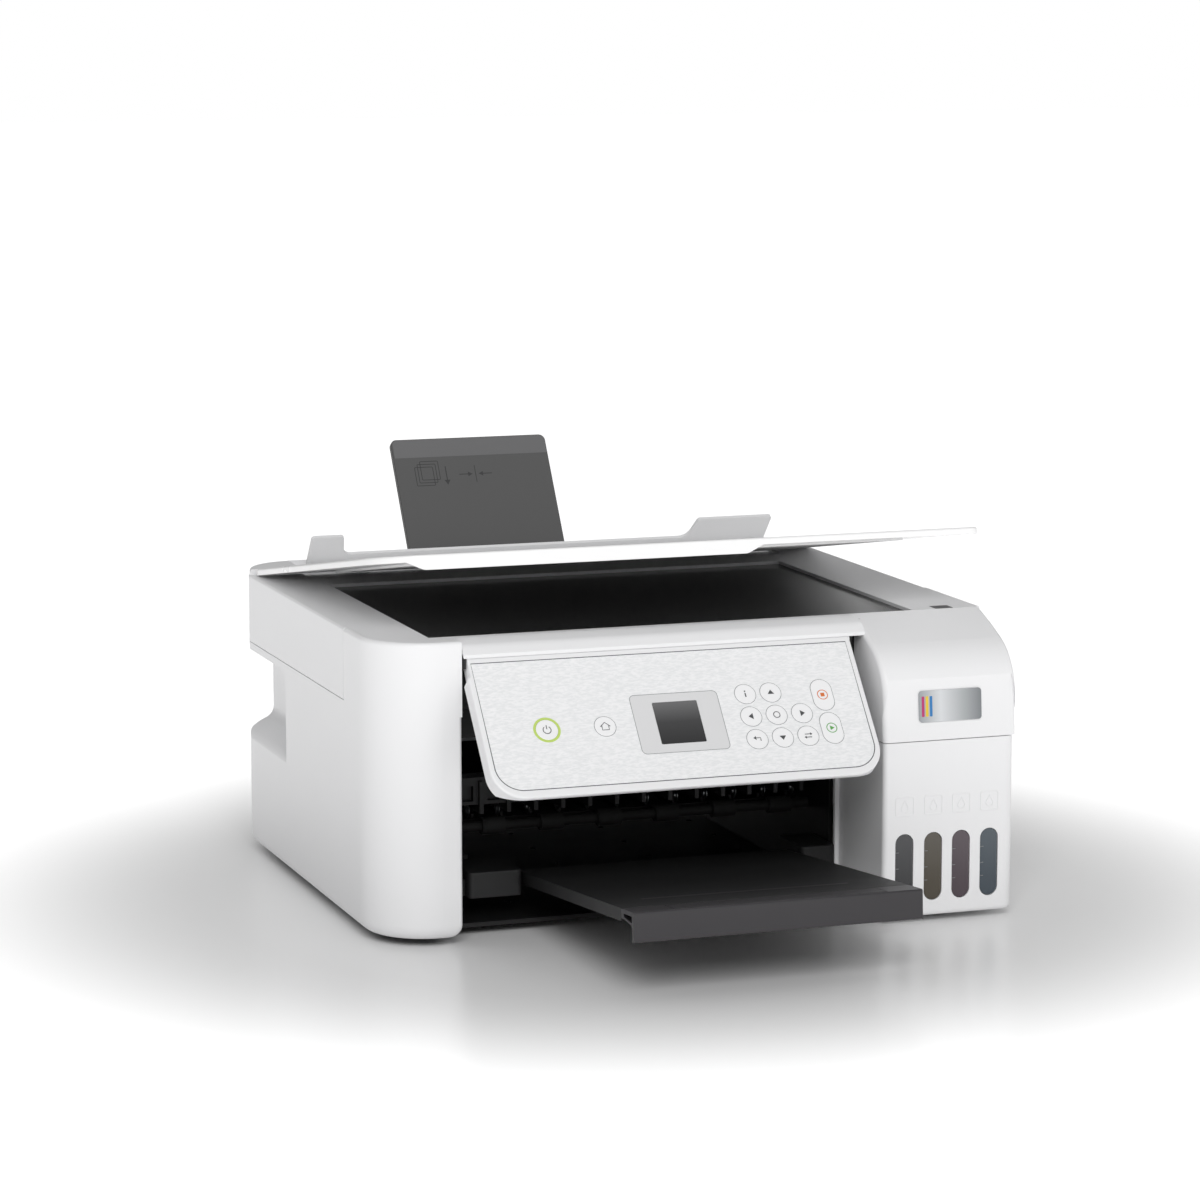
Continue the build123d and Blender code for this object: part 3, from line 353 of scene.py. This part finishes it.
class Paintshop:
    """Builds each material once and puts it on CAD nodes and new pieces."""

    def __init__(self) -> None:
        """Start with no materials made."""
        self.made: dict[str, bpy.types.Material] = {}

    def get(self, finish: Finish) -> bpy.types.Material:
        """The material of a finish, made on first use."""
        if finish.name not in self.made:
            self.made[finish.name] = finish.build()
        return self.made[finish.name]

    def node(self, finish: Finish, *names: str) -> None:
        """Put a finish on CAD nodes.

        Args:
            finish: The finish.
            names: CAD node names.
        """
        for name in names:
            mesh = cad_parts[name].data
            mesh.materials.clear()
            mesh.materials.append(self.get(finish))
            log.info("painted %s with %s", name, finish.name)


SHOP = Paintshop()


# ---- shapes -------------------------------------------------------------------------------
@dataclass(frozen=True)
class Face:
    """A flat face with its own millimetre axes, lying somewhere on the printer."""

    origin: Place
    across: Place = (1.0, 0.0, 0.0)
    up: Place = (0.0, 0.0, 1.0)

    def at(self, u: float, v: float, lift: float = 0.0) -> Vector:
        """A point on the face.

        Args:
            u: Distance across, mm.
            v: Distance up, mm.
            lift: Distance out of the face, mm.

        Returns:
            The place in metres.
        """
        across, up = Vector(self.across), Vector(self.up)
        out = across.cross(up)
        return (Vector(self.origin) + across * u + up * v + out * lift) * MM


def arc(centre: Point, radius: float, start: float, sweep: float, steps: int = 24) -> list[Point]:
    """Points along an arc, angles in degrees counted from the across axis."""
    return [(centre[0] + radius * cos(radians(start + sweep * i / steps)),
             centre[1] + radius * sin(radians(start + sweep * i / steps))) for i in range(steps + 1)]


def disc(centre: Point, radius: float, steps: int = 32) -> list[Point]:
    """Points around a circle."""
    return arc(centre, radius, 0, 360, steps)[:-1]


def rounded(left: float, low: float, right: float, high: float, radius: float) -> list[Point]:
    """The outline of a rectangle with rounded corners."""
    corners = ((right - radius, low + radius, 270), (right - radius, high - radius, 0),
               (left + radius, high - radius, 90), (left + radius, low + radius, 180))
    return [p for x, y, start in corners for p in arc((x, y), radius, start, 90, 6)]


class Print:
    """Flat shapes printed, stamped or let into one face, gathered into one mesh."""

    def __init__(self, face: Face, lift: float = 0.03, thick: float = 0.0) -> None:
        """Start an empty print.

        Args:
            face: The face that it lies on.
            lift: Height of its surface over the face, mm.
            thick: Thickness below that surface, mm, or 0 for a bare sheet of ink.
        """
        self.face, self.lift, self.thick = face, lift, thick
        self.mesh = bmesh.new()

    def fill(self, points: Sequence[Point]) -> "Print":
        """Add a filled outline, its points anticlockwise."""
        top = [self.mesh.verts.new(self.face.at(u, v, self.lift)) for u, v in points]
        self.mesh.faces.new(top)
        if self.thick:
            low = [self.mesh.verts.new(self.face.at(u, v, self.lift - self.thick)) for u, v in points]
            for i in range(len(points)):
                j = (i + 1) % len(points)
                self.mesh.faces.new((top[j], top[i], low[i], low[j]))
            self.mesh.faces.new(low[::-1])
        return self

    def stroke(self, points: Sequence[Point], width: float, closed: bool = False) -> "Print":
        """Add a line of constant width.

        Args:
            points: The line's points.
            width: Its width, mm.
            closed: Whether it returns to its start.

        Returns:
            This print.
        """
        count = len(points)
        sides: list[tuple[Point, Point]] = []
        for i, (u, v) in enumerate(points):
            back = points[i - 1] if i or closed else points[i]
            ahead = points[(i + 1) % count] if i < count - 1 or closed else points[i]
            du, dv = ahead[0] - back[0], ahead[1] - back[1]
            length = hypot(du, dv) or 1.0
            nu, nv = -dv / length * width / 2, du / length * width / 2
            sides.append(((u + nu, v + nv), (u - nu, v - nv)))
        for i in range(count if closed else count - 1):
            a, b = sides[i], sides[(i + 1) % count]
            self.fill([a[1], b[1], b[0], a[0]])
        return self

    def make(self, name: str, finish: Finish, body: str, slot: str) -> bpy.types.Object:
        """Turn the print into a piece.

        Args:
            name: The piece's name.
            finish: Its finish.
            body: The CAD body it rides on.
            slot: The record's material slot; not used.

        Returns:
            The new object.
        """
        bmesh.ops.remove_doubles(self.mesh, verts=self.mesh.verts, dist=1e-7)
        return add_piece(name, self.mesh, finish, body)


def add_piece(name: str, mesh: bmesh.types.BMesh, finish: Finish, body: str) -> bpy.types.Object:
    """Make an object of a finished mesh and hang it on its body.

    Args:
        name: The piece's name.
        mesh: Its mesh, placed, in metres; it is freed.
        finish: Its finish.
        body: The CAD body it rides on.

    Returns:
        The new object.
    """
    data = bpy.data.meshes.new(name)
    mesh.to_mesh(data)
    mesh.free()
    data.materials.append(SHOP.get(finish))
    piece = bpy.data.objects.new(name, data)
    bpy.context.scene.collection.objects.link(piece)
    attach(piece, body)
    log.info("made %s on %s, %d faces", name, body, len(data.polygons))
    return piece


def turned(profile: Sequence[Point], steps: int = 20) -> bmesh.types.BMesh:
    """A solid of revolution about +Z.

    Args:
        profile: Radius and height pairs in mm, from the bottom centre to the top centre.
        steps: Faces around.

    Returns:
        The mesh, in metres.
    """
    mesh = bmesh.new()
    rings: list[list[bmesh.types.BMVert]] = []
    for radius, height in profile:
        if radius < 1e-6:
            rings.append([mesh.verts.new((0, 0, height * MM))])
        else:
            rings.append([mesh.verts.new((radius * cos(2 * pi * i / steps) * MM,
                                          radius * sin(2 * pi * i / steps) * MM, height * MM))
                          for i in range(steps)])
    for low, high in zip(rings, rings[1:]):
        for i in range(steps):
            j = (i + 1) % steps
            if len(low) == 1 and len(high) == 1:
                continue
            if len(low) == 1:
                mesh.faces.new((low[0], high[i], high[j])[::-1])
            elif len(high) == 1:
                mesh.faces.new((low[i], low[j], high[0]))
            else:
                mesh.faces.new((low[i], low[j], high[j], high[i]))
    bmesh.ops.recalc_face_normals(mesh, faces=mesh.faces)
    return mesh


@dataclass
class Row:
    """One mesh repeated along a line, made by a Geometry Nodes tree."""

    name: str
    unit: bmesh.types.BMesh
    finish: Finish
    body: str
    slot: str
    runs: list[tuple[Place, Place, int]] = field(default_factory=list)   # start, step (mm) and count

    def tree(self) -> tuple[bpy.types.NodeTree, dict[str, str]]:
        """Build the tree.

        Returns:
            The tree and its inputs' identifiers by name.
        """
        tree = bpy.data.node_groups.new(f"{self.name}_row", "GeometryNodeTree")
        sockets = {}
        for label, kind in (("Unit", "NodeSocketObject"), ("Count", "NodeSocketInt"),
                            ("Start", "NodeSocketVector"), ("Step", "NodeSocketVector"),
                            ("Finish", "NodeSocketMaterial")):
            item = tree.interface.new_socket(name=label, in_out="INPUT", socket_type=kind)
            sockets[label] = item.identifier
        tree.interface.new_socket(name="Geometry", in_out="OUTPUT", socket_type="NodeSocketGeometry")
        given = tree.nodes.new("NodeGroupInput")
        line = tree.nodes.new("GeometryNodeMeshLine")
        line.mode = "OFFSET"
        unit = tree.nodes.new("GeometryNodeObjectInfo")
        spread = tree.nodes.new("GeometryNodeInstanceOnPoints")
        real = tree.nodes.new("GeometryNodeRealizeInstances")
        paint = tree.nodes.new("GeometryNodeSetMaterial")
        out = tree.nodes.new("NodeGroupOutput")
        for start, end in (
            (given.outputs["Unit"], unit.inputs["Object"]),
            (given.outputs["Count"], line.inputs["Count"]),
            (given.outputs["Start"], line.inputs["Start Location"]),
            (given.outputs["Step"], line.inputs["Offset"]),
            (line.outputs["Mesh"], spread.inputs["Points"]),
            (unit.outputs["Geometry"], spread.inputs["Instance"]),
            (spread.outputs["Instances"], real.inputs["Geometry"]),
            (real.outputs["Geometry"], paint.inputs["Geometry"]),
            (given.outputs["Finish"], paint.inputs["Material"]),
            (paint.outputs["Geometry"], out.inputs["Geometry"]),
        ):
            tree.links.new(start, end)
        return tree, sockets

    def make(self) -> bpy.types.Object:
        """Run the tree for each line and keep the result as one plain mesh.

        Returns:
            The finished piece.
        """
        tree, sockets = self.tree()
        data = bpy.data.meshes.new(f"{self.name}_unit")
        self.unit.to_mesh(data)
        self.unit.free()
        unit = bpy.data.objects.new(f"{self.name}_unit", data)
        bpy.context.scene.collection.objects.link(unit)
        whole = bmesh.new()
        for start, step, count in self.runs:
            carrier = bpy.data.objects.new(f"{self.name}_carrier", bpy.data.meshes.new("carrier"))
            bpy.context.scene.collection.objects.link(carrier)
            modifier = carrier.modifiers.new("row", "NODES")
            modifier.node_group = tree
            modifier[sockets["Unit"]] = unit
            modifier[sockets["Count"]] = count
            modifier[sockets["Start"]] = [c * MM for c in start]
            modifier[sockets["Step"]] = [c * MM for c in step]
            modifier[sockets["Finish"]] = SHOP.get(self.finish)
            seen = carrier.evaluated_get(bpy.context.evaluated_depsgraph_get())
            part = bpy.data.meshes.new_from_object(seen)
            whole.from_mesh(part)
            carrier.modifiers.remove(modifier)
            bpy.data.objects.remove(carrier)
            bpy.data.meshes.remove(part)
        bpy.data.objects.remove(unit)
        return add_piece(self.name, whole, self.finish, self.body)


def centre_of(node: str) -> Vector:
    """The middle of a CAD node's box, in millimetres."""
    low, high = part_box(node)
    return (Vector(low) + Vector(high)) / 2 / MM


# ---- sub-assemblies -----------------------------------------------------------------------
@dataclass
class Housing:
    """The white body: housings, case screws, labels on the back, rubber feet."""

    rear: float = 217.0

    def paint(self) -> None:
        """Dress the CAD nodes of the body."""
        SHOP.node(WHITE_ABS, "base_housing", "tank_housing", "scanner_top_frame", "feeder_housing",
                  "feeder_guard")
        SHOP.node(RUBBER, "rubber_feet")
        SHOP.node(BLACK_PS, "bottom_plate", "scanner_case", "ac_inlet")
        SHOP.node(GLASS, "scanner_glass")

    def screws(self) -> None:
        """Pan-head case screws along the back wall and the bottom plate."""
        head = turned([(0, -0.4), (3.2, -0.4), (3.2, 0.5), (2.6, 1.1), (1.3, 1.3), (0, 1.3)], 18)
        back = head.copy()
        bmesh.ops.transform(back, matrix=Matrix.Rotation(-pi / 2, 4, "X"), verts=back.verts)
        Row("rear_case_screws", back, STEEL, Body.BASE.value, "steel",
            [((-146.0, self.rear, 62.0), (97.0, 0, 0), 4), ((-146.0, self.rear, 118.0), (291.0, 0, 0), 2)]).make()
        bmesh.ops.transform(head, matrix=Matrix.Rotation(pi, 4, "X"), verts=head.verts)
        Row("bottom_case_screws", head, STEEL, Body.BASE.value, "steel",
            [((-170.0, 20.0, 4.8), (170.0, 0, 0), 3), ((-170.0, 140.0, 4.8), (170.0, 0, 0), 3)]).make()

    def back(self) -> None:
        """The blank rating label, the data socket and the vents on the back wall."""
        wall = Face((0, self.rear, 0), (-1, 0, 0), (0, 0, 1))
        Print(wall, 0.12, 0.12).fill(rounded(20, 69, 84, 107, 1.5)).make(
            "blank_rating_label", LABEL, Body.BASE.value, "white_abs")
        lines = Print(wall, 0.16)
        for n in range(5):
            lines.stroke([(26, 99 - n * 6), (78 - 9 * (n % 2), 99 - n * 6)], 0.8)
        lines.make("label_rules", RIM_INK, Body.BASE.value, "white_abs")
        socket = Print(wall, 0.5, 0.5)
        for low, high in (((-132, 37), (-131, 49)), ((-119, 37), (-118, 49)), ((-131, 37), (-119, 38)),
                          ((-131, 48), (-119, 49))):
            socket.fill([low, (high[0], low[1]), high, (low[0], high[1])])
        socket.make("data_socket_shell", STEEL, Body.BASE.value, "steel")
        # The socket's well: a dark sheet of painted shade.
        inner = Print(wall, 0.1, 0.1)
        inner.fill(rounded(-131, 38, -119, 48, 0.4))
        inner.make("data_socket_well", GROOVE, Body.BASE.value, "black_plastic")
        # The vents: flat dark slots of painted shade.
        slot_mesh = Print(Face((0, 0, 0), (-1, 0, 0), (0, 0, 1)), 0.05, 0.05)
        slot_mesh.fill(rounded(-1.1, -9, 1.1, 9, 1.05))
        Row("rear_vents", slot_mesh.mesh, GROOVE, Body.BASE.value, "black_plastic",
            [((40.0, self.rear, 92.0), (6.0, 0, 0), 10)]).make()

    def frame_marks(self) -> None:
        """The dark alignment marker beside the glass."""
        deck = Face((0, 0, 175.0), (1, 0, 0), (0, 1, 0))
        Print(deck, 0.05, 0.05).fill(rounded(159.5, -76.5, 171.0, -66.5, 1.0)).make(
            "alignment_marker", MARKER, Body.SCANNER.value, "black_plastic")
        Print(deck, 0.07).stroke(rounded(161.2, -74.9, 169.3, -68.1, 0.5), 0.35, True).make(
            "alignment_marker_line", RIM_INK, Body.SCANNER.value, "white_abs")

    def build(self) -> None:
        """Make the whole body's looks."""
        self.paint()
        self.screws()
        self.back()
        self.frame_marks()


@dataclass
class InkTanks:
    """The ink tank unit: smoky tanks, raised labels, level marks and the silver badge."""

    front: float = -130.0
    names: tuple[str, ...] = ("black", "yellow", "magenta", "cyan")
    label_low: float = 64.4
    label_size: float = 11.0
    ticks: tuple[float, ...] = (42.8, 33.3, 25.5)

    def build(self) -> None:
        """Dress the tanks and add what is on the unit's front."""
        for name in self.names:
            SHOP.node(TANKS[name], f"ink_tank_{name}")
            SHOP.node(BLACK_PS, f"tank_cap_{name}")
        self.labels()
        self.level_marks()
        self.badge()

    def labels(self) -> None:
        """Raised square frames with a droplet in each, above the four windows."""
        wall = Face((0, self.front, 0))
        raised = Print(wall, 0.3, 0.3)
        for name in self.names:
            x = centre_of(f"ink_tank_{name}").x
            half = self.label_size / 2
            mid = self.label_low + half
            raised.stroke(rounded(x - half, mid - half, x + half, mid + half, 1.2), 0.7, True)
            drop = arc((x, mid - 1.2), 2.1, 150, 240, 16) + [(x, mid + 3.4)]
            raised.stroke(drop, 0.55, True)
        raised.make("raised_tank_labels", WHITE_ABS, Body.BASE.value, "white_abs")

    def level_marks(self) -> None:
        """Short level marks at the left edge of each window."""
        unit = Print(Face((0, 0, 0)), 0.06, 0.06)
        unit.fill([(0, -0.2), (2.0, -0.2), (2.0, 0.2), (0, 0.2)])
        left = [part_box(f"ink_tank_{name}")[0][0] / MM + 2.5 for name in self.names]
        Row("tank_level_marks", unit.mesh, LEVEL_INK, Body.BASE.value, "white_abs",
            [((x, self.front + 0.4, z), (left[1] - left[0], 0, 0), 1) for x in left
             for z in self.ticks]).make()

    def badge(self) -> None:
        """Silver foil with three plain coloured bars at its left."""
        SHOP.node(FOIL, "tank_badge")
        low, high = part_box("tank_badge")
        lean = radians(4.48)
        middle = centre_of("tank_badge")
        face = Face((low[0] / MM, middle.y - 0.35 * cos(lean), middle.z + 0.35 * sin(lean)), (1, 0, 0),
                    (0, sin(lean), cos(lean)))
        half = (high[2] - low[2]) / 2 / MM
        for n, (label, finish) in enumerate((("magenta", BAR_MAGENTA), ("yellow", BAR_YELLOW),
                                             ("blue", BAR_BLUE))):
            left = 1.6 + n * 2.5
            Print(face, 0.05).fill(rounded(left, -half + 3.2, left + 1.7, half - 3.2, 0.4)).make(
                f"badge_bar_{label}", finish, Body.SCANNER.value, "badge_foil")


@dataclass
class ControlPanel:
    """The tilting panel: grained film, keys with their printed signs, lit ring and display."""

    top: Place = (0.0, -97.5, 164.3)
    tilt: float = 40.0
    ring_radius: float = 7.2
    ring_width: float = 1.4

    def face(self) -> Face:
        """The panel's front face, across along X and up towards its hinge."""
        lean = radians(self.tilt)
        return Face(self.top, (1, 0, 0), (0, sin(lean), cos(lean)))

    def key_face(self, key: str) -> Face:
        """The top of a key, with its origin in the key's middle."""
        lean = radians(self.tilt)
        out, up = Vector((0, -cos(lean), sin(lean))), Vector((0, sin(lean), cos(lean)))
        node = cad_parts[key]
        spots = [node.matrix_world @ vertex.co / MM for vertex in node.data.vertices]
        heights = [spot.dot(up) for spot in spots]
        middle = (up * (max(heights) + min(heights)) / 2 + out * max(spot.dot(out) for spot in spots)
                  + Vector((centre_of(key).x, 0, 0)))
        return Face(tuple(middle), (1, 0, 0), tuple(up))

    def build(self) -> None:
        """Dress the panel and its keys."""
        SHOP.node(WHITE_ABS, "panel_shell")
        SHOP.node(FILM, "panel_overlay")
        SHOP.node(BEZEL, "lcd_module")
        self.lines()
        self.display()
        self.power_ring()
        self.keys()

    def lines(self) -> None:
        """The fine line around the film."""
        edge = Print(self.face(), 0.03)
        edge.stroke([(-134.1, -2.0)] + arc((-119.1, -69.0), 15.0, 180, 90) + arc((77.6, -69.0), 15.0, 270, 90)
                    + [(92.6, -2.0)], 0.55, True)
        edge.make("panel_edge_line_print", LINE_INK, Body.PANEL.value, "overlay_film")

    def display(self) -> None:
        """The display's glass in its recess, and the bezel's fine edge."""
        x, down, size = -20.5, 47.6, 27.0
        glass = Print(self.face(), -0.12, 0.3)
        half = size / 2 - 0.15
        glass.fill(rounded(x - half, -down - half, x + half, -down + half, 0.7))
        glass.make("display_glass", SCREEN, Body.PANEL.value, "lcd_bezel")
        rim = Print(self.face(), 0.03)
        rim.stroke(rounded(-46.6, -66.6, 6.1, -28.7, 2.9), 0.35, True)
        rim.make("bezel_edge_print", RIM_INK, Body.PANEL.value, "lcd_bezel")

    def power_ring(self) -> None:
        """The lit ring around the power key."""
        ring = Print(self.key_face("key_power"), -0.12, 0.25)
        ring.stroke(disc((0, 0), self.ring_radius, 48), self.ring_width, True)
        ring.make("power_ring", LIME, Body.PANEL.value, "lcd_bezel")

    def keys(self) -> None:
        """The keys and their generic signs."""
        signs: dict[str, Callable[[Print], Any]] = {
            "key_power": lambda p: p.stroke(arc((0, -0.1), 2.3, 125, 290), 0.5).stroke([(0, 0.4), (0, 2.9)], 0.5),
            "key_home": self.house,
            "key_help": lambda p: p.fill(disc((0, 1.7), 0.5, 12)).stroke([(0, 0.6), (0, -2.0)], 0.75),
            "key_up": lambda p: p.fill([(-2.0, -1.1), (2.0, -1.1), (0, 1.7)]),
            "key_left": lambda p: p.fill([(1.1, -2.0), (1.1, 2.0), (-1.7, 0)]),
            "key_right": lambda p: p.fill([(-1.1, -2.0), (1.7, 0), (-1.1, 2.0)]),
            "key_down": lambda p: p.fill([(-2.0, 1.1), (0, -1.7), (2.0, 1.1)]),
            "key_ok": lambda p: p.stroke(disc((0, 0), 1.9, 24), 0.5, True),
            "key_back": lambda p: p.stroke([(1.9, -1.3), (1.9, 0.7), (-0.9, 0.7)], 0.5).fill(
                [(-0.7, 2.0), (-2.4, 0.7), (-0.7, -0.6)]),
            "key_options": lambda p: p.stroke([(-2, 1.0), (1.4, 1.0)], 0.5).stroke([(-1.4, -1.0), (2, -1.0)], 0.5)
            .fill([(1.3, 2.0), (1.3, 0.0), (2.6, 1.0)]).fill([(-1.3, -2.0), (-1.3, 0.0), (-2.6, -1.0)]),
            "key_stop": lambda p: p.stroke(arc((0, 0), 3.0, 0, 360, 32), 0.5).fill(
                [(-1.2, -1.2), (1.2, -1.2), (1.2, 1.2), (-1.2, 1.2)]),
            "key_start": lambda p: p.stroke(arc((0, 0), 3.0, 0, 360, 32), 0.5).fill(
                [(-1.0, -1.5), (1.7, 0), (-1.0, 1.5)]),
        }
        colours = {"key_stop": STOP_INK, "key_start": START_INK}
        for key, draw in signs.items():
            SHOP.node(KEY_ABS, key)
            sign = Print(self.key_face(key), 0.03)
            draw(sign)
            sign.make(f"{key}_sign", colours.get(key, KEY_INK), key, "key_white")
            ring = Print(self.key_face(key), -0.27)
            if key in colours:
                ring.stroke(rounded(-6.4, -10.15, 6.4, 10.15, 6.25), 0.35, True)
            else:
                low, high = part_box(key)
                ring.stroke(disc((0, 0), (high[0] - low[0]) / 2 / MM + 0.15, 48), 0.35, True)
            ring.make(f"{key}_rim_print", RIM_INK, Body.PANEL.value, "overlay_film")

    @staticmethod
    def house(sign: Print) -> None:
        """Draw a small house.

        Args:
            sign: The print to draw it in.
        """
        sign.stroke([(-2.9, -0.1), (0, 2.5), (2.9, -0.1)], 0.5)
        sign.stroke([(-2.0, 0.4), (-2.0, -2.3), (2.0, -2.3), (2.0, 0.4)], 0.5)


@dataclass
class Cover:
    """The document cover and its mat."""

    def build(self) -> None:
        """Dress the cover."""
        SHOP.node(COVER_ABS, "lid_shell")
        SHOP.node(MAT, "document_mat")


@dataclass
class Tray:
    """The output tray with its lip, side blocks and a painted highlight along its groove edge."""

    edge: Place = (0.0, -246.0, 50.0)
    slope: float = 5.6

    def face(self) -> Face:
        """The tray's top surface, up meaning away from the front."""
        lean = radians(self.slope)
        return Face(self.edge, (1, 0, 0), (0, cos(lean), -sin(lean)))

    def build(self) -> None:
        """Dress the tray and paint a highlight along its groove edge."""
        SHOP.node(TRAY_ABS, "tray_plate", "tray_side_blocks")
        SHOP.node(TRAY_LIP_ABS, "tray_extension", "tray_stopper")
        # A lighter stroke along the edge of the tray's groove: a painted highlight.
        groove_highlight = Print(self.face(), 0.05)
        groove_highlight.stroke([(-68.9, 47.8), (52.0, 44.4)], 3.2)
        groove_highlight.make("tray_groove_lines", TRAY_GROOVE_HIGHLIGHT, Body.TRAY.value, "tray_grey")


@dataclass
class Feeder:
    """The rear paper support with its bent top edge, shown by a band of painted light, its loading signs, and the
    edge guides.
    """

    top: Place = (0.0, 244.0, 248.3)
    lean: float = 32.3
    left: float = -79.0
    right: float = 25.0
    band: float = 13.0

    def face(self) -> Face:
        """The support's front face, up along its slope."""
        lean = radians(self.lean)
        return Face(self.top, (1, 0, 0), (0, sin(lean), cos(lean)))

    def build(self) -> None:
        """Dress the support and print its signs."""
        SHOP.node(SUPPORT_ABS, "paper_support")
        SHOP.node(BLACK_PS, "edge_guide_left", "edge_guide_right")
        face = self.face()
        # A lighter band along the top: painted light standing in for the lit bent edge.
        Print(face, 0.04).fill([(self.left + 1.2, -self.band), (self.right - 0.3, -self.band),
                                (self.right - 0.3, -2.5), (self.right - 2.5, -0.4), (self.left + 3.2, -0.4),
                                (self.left + 1.2, -2.5)]).make("support_top_band", SUPPORT_EDGE_PAINTED_LIGHT,
                                                               Body.SUPPORT.value, "support_grey")
        signs = Print(face, 0.05)
        # three sheets and an arrow down
        for n in range(3):
            signs.stroke(rounded(-66 + n * 2, -33 + n * 2, -54 + n * 2, -20 + n * 2, 0.6), 0.5, True)
        signs.stroke([(-45.5, -20), (-45.5, -30)], 0.7).fill([(-47.5, -29.5), (-45.5, -33), (-43.5, -29.5)])
        # two arrows that point at a middle line
        signs.stroke([(-26, -20), (-26, -32)], 0.5)
        for side in (-1, 1):
            signs.stroke([(-26 + side * 11, -26), (-26 + side * 4.5, -26)], 0.6)
            tip = [(-26 + side * 2, -26), (-26 + side * 5, -24.4), (-26 + side * 5, -27.6)]
            signs.fill(tip if side < 0 else tip[::-1])
        signs.make("paper_loading_signs", DARK_MARK, Body.SUPPORT.value, "support_grey")


@dataclass
class Mechanism:
    """The print mechanism seen through the paper exit."""

    wheel_radius: float = 4.6
    wheel_count: int = 12

    def build(self) -> None:
        """Dress the mechanism and add the star wheels over the eject roller."""
        SHOP.node(BLACK_PS, "inner_frame", "exit_bar", "platen", "paper_chute", "print_carriage", "sensor_bar")
        SHOP.node(STEEL, "guide_rail", "carriage_motor")
        SHOP.node(RUBBER, "timing_belt", "feed_roller", "eject_roller", "pickup_roller")
        SHOP.node(ACETAL, "drive_pulley", "idler_pulley", "idler_gear")
        SHOP.node(BOARD, "main_board")
        SHOP.node(SUPPLY, "power_supply")
        wheel = turned([(0, -0.5), (self.wheel_radius * 0.4, -1.2), (self.wheel_radius * 0.5, -0.5),
                        (self.wheel_radius, -0.15), (self.wheel_radius, 0.15), (self.wheel_radius * 0.5, 0.5),
                        (self.wheel_radius * 0.4, 1.2), (0, 1.2)], 24)
        bmesh.ops.transform(wheel, matrix=Matrix.Rotation(pi / 2, 4, "Y"), verts=wheel.verts)
        centre = centre_of("eject_roller")
        Row("star_wheels", wheel, STEEL, Body.BASE.value, "steel",
            [((-112.0, centre.y, centre.z + 10.2), (18.5, 0, 0), self.wheel_count)]).make()


@dataclass
class Studio:
    """A plain pale floor, soft lights and the camera."""

    camera_place: Place = (-796.83, -2192.74, 546.57)
    turn: float = 19.448
    down: float = 8.998
    lens: float = 119.66

    def build(self) -> None:
        """Set up the floor, the lights and the camera."""
        self.floor()
        self.light("key", (-0.75, -2.5, 1.85), (0, 0, 0.1), 1.5, 42.0)
        self.light("fill", (1.6, -2.4, 0.9), (0, 0, 0.1), 1.6, 5.0)
        self.light("top", (0.2, 0.3, 2.6), (0, 0, 0.1), 2.4, 3.0)
        world = bpy.data.worlds.new("studio")
        world.use_nodes = True
        sky = world.node_tree.nodes["Background"]
        sky.inputs["Color"].default_value = (1, 1, 1, 1)
        # the backdrop looks white, though it lights the scene less
        seen = world.node_tree.nodes.new("ShaderNodeLightPath").outputs["Is Camera Ray"]
        strength = world.node_tree.nodes.new("ShaderNodeMapRange")
        strength.inputs[3].default_value = 0.34
        strength.inputs[4].default_value = 1.0
        world.node_tree.links.new(seen, strength.inputs[0])
        world.node_tree.links.new(strength.outputs[0], sky.inputs["Strength"])
        bpy.context.scene.world = world
        bpy.context.scene.view_settings.view_transform = "Standard"
        camera = bpy.data.cameras.new("camera")
        camera.lens = self.lens
        camera.sensor_width = 36.0
        camera.clip_end = 50.0
        holder = bpy.data.objects.new("camera", camera)
        holder.location = [c * MM for c in self.camera_place]
        holder.rotation_euler = (radians(90 - self.down), 0, -radians(self.turn))
        bpy.context.scene.collection.objects.link(holder)
        bpy.context.scene.camera = holder

    def floor(self) -> None:
        """A wide pale sheet that the printer stands on."""
        mesh = bpy.data.meshes.new("studio_floor")
        size = 12.0
        mesh.from_pydata([(-size, -size, 0), (size, -size, 0), (size, size, 0), (-size, size, 0)], [],
                         [(0, 1, 2, 3)])
        # matt white paper backdrop, its glow painted light that grows away from the printer
        mesh.materials.append(SHOP.get(PaintedGlowPaper("studio_paper", "#FDFDFD", 0.3, depth=0.0, mottle=0.0)))
        sheet = bpy.data.objects.new("studio_floor", mesh)
        bpy.context.scene.collection.objects.link(sheet)

    def light(self, name: str, place: Place, aim: Place, size: float, power: float) -> None:
        """Add a square soft light.

        Args:
            name: Its name.
            place: Where it hangs, in metres.
            aim: The point it faces.
            size: Its side, in metres.
            power: Its power in watts.
        """
        lamp = bpy.data.lights.new(name, "AREA")
        lamp.shape = "SQUARE"
        lamp.size = size
        lamp.energy = power
        holder = bpy.data.objects.new(name, lamp)
        holder.location = place
        holder.rotation_euler = (Vector(aim) - Vector(place)).to_track_quat("-Z", "Y").to_euler()
        bpy.context.scene.collection.objects.link(holder)


def main() -> None:
    """Build the printer's looks and the studio."""
    logging.basicConfig(level=logging.INFO, format="%(name)s: %(message)s")
    for assembly in (Housing(), InkTanks(), ControlPanel(), Cover(), Tray(), Feeder(), Mechanism(), Studio()):
        log.info("building %s", type(assembly).__name__)
        assembly.build()


if __name__ == "__main__":
    main()
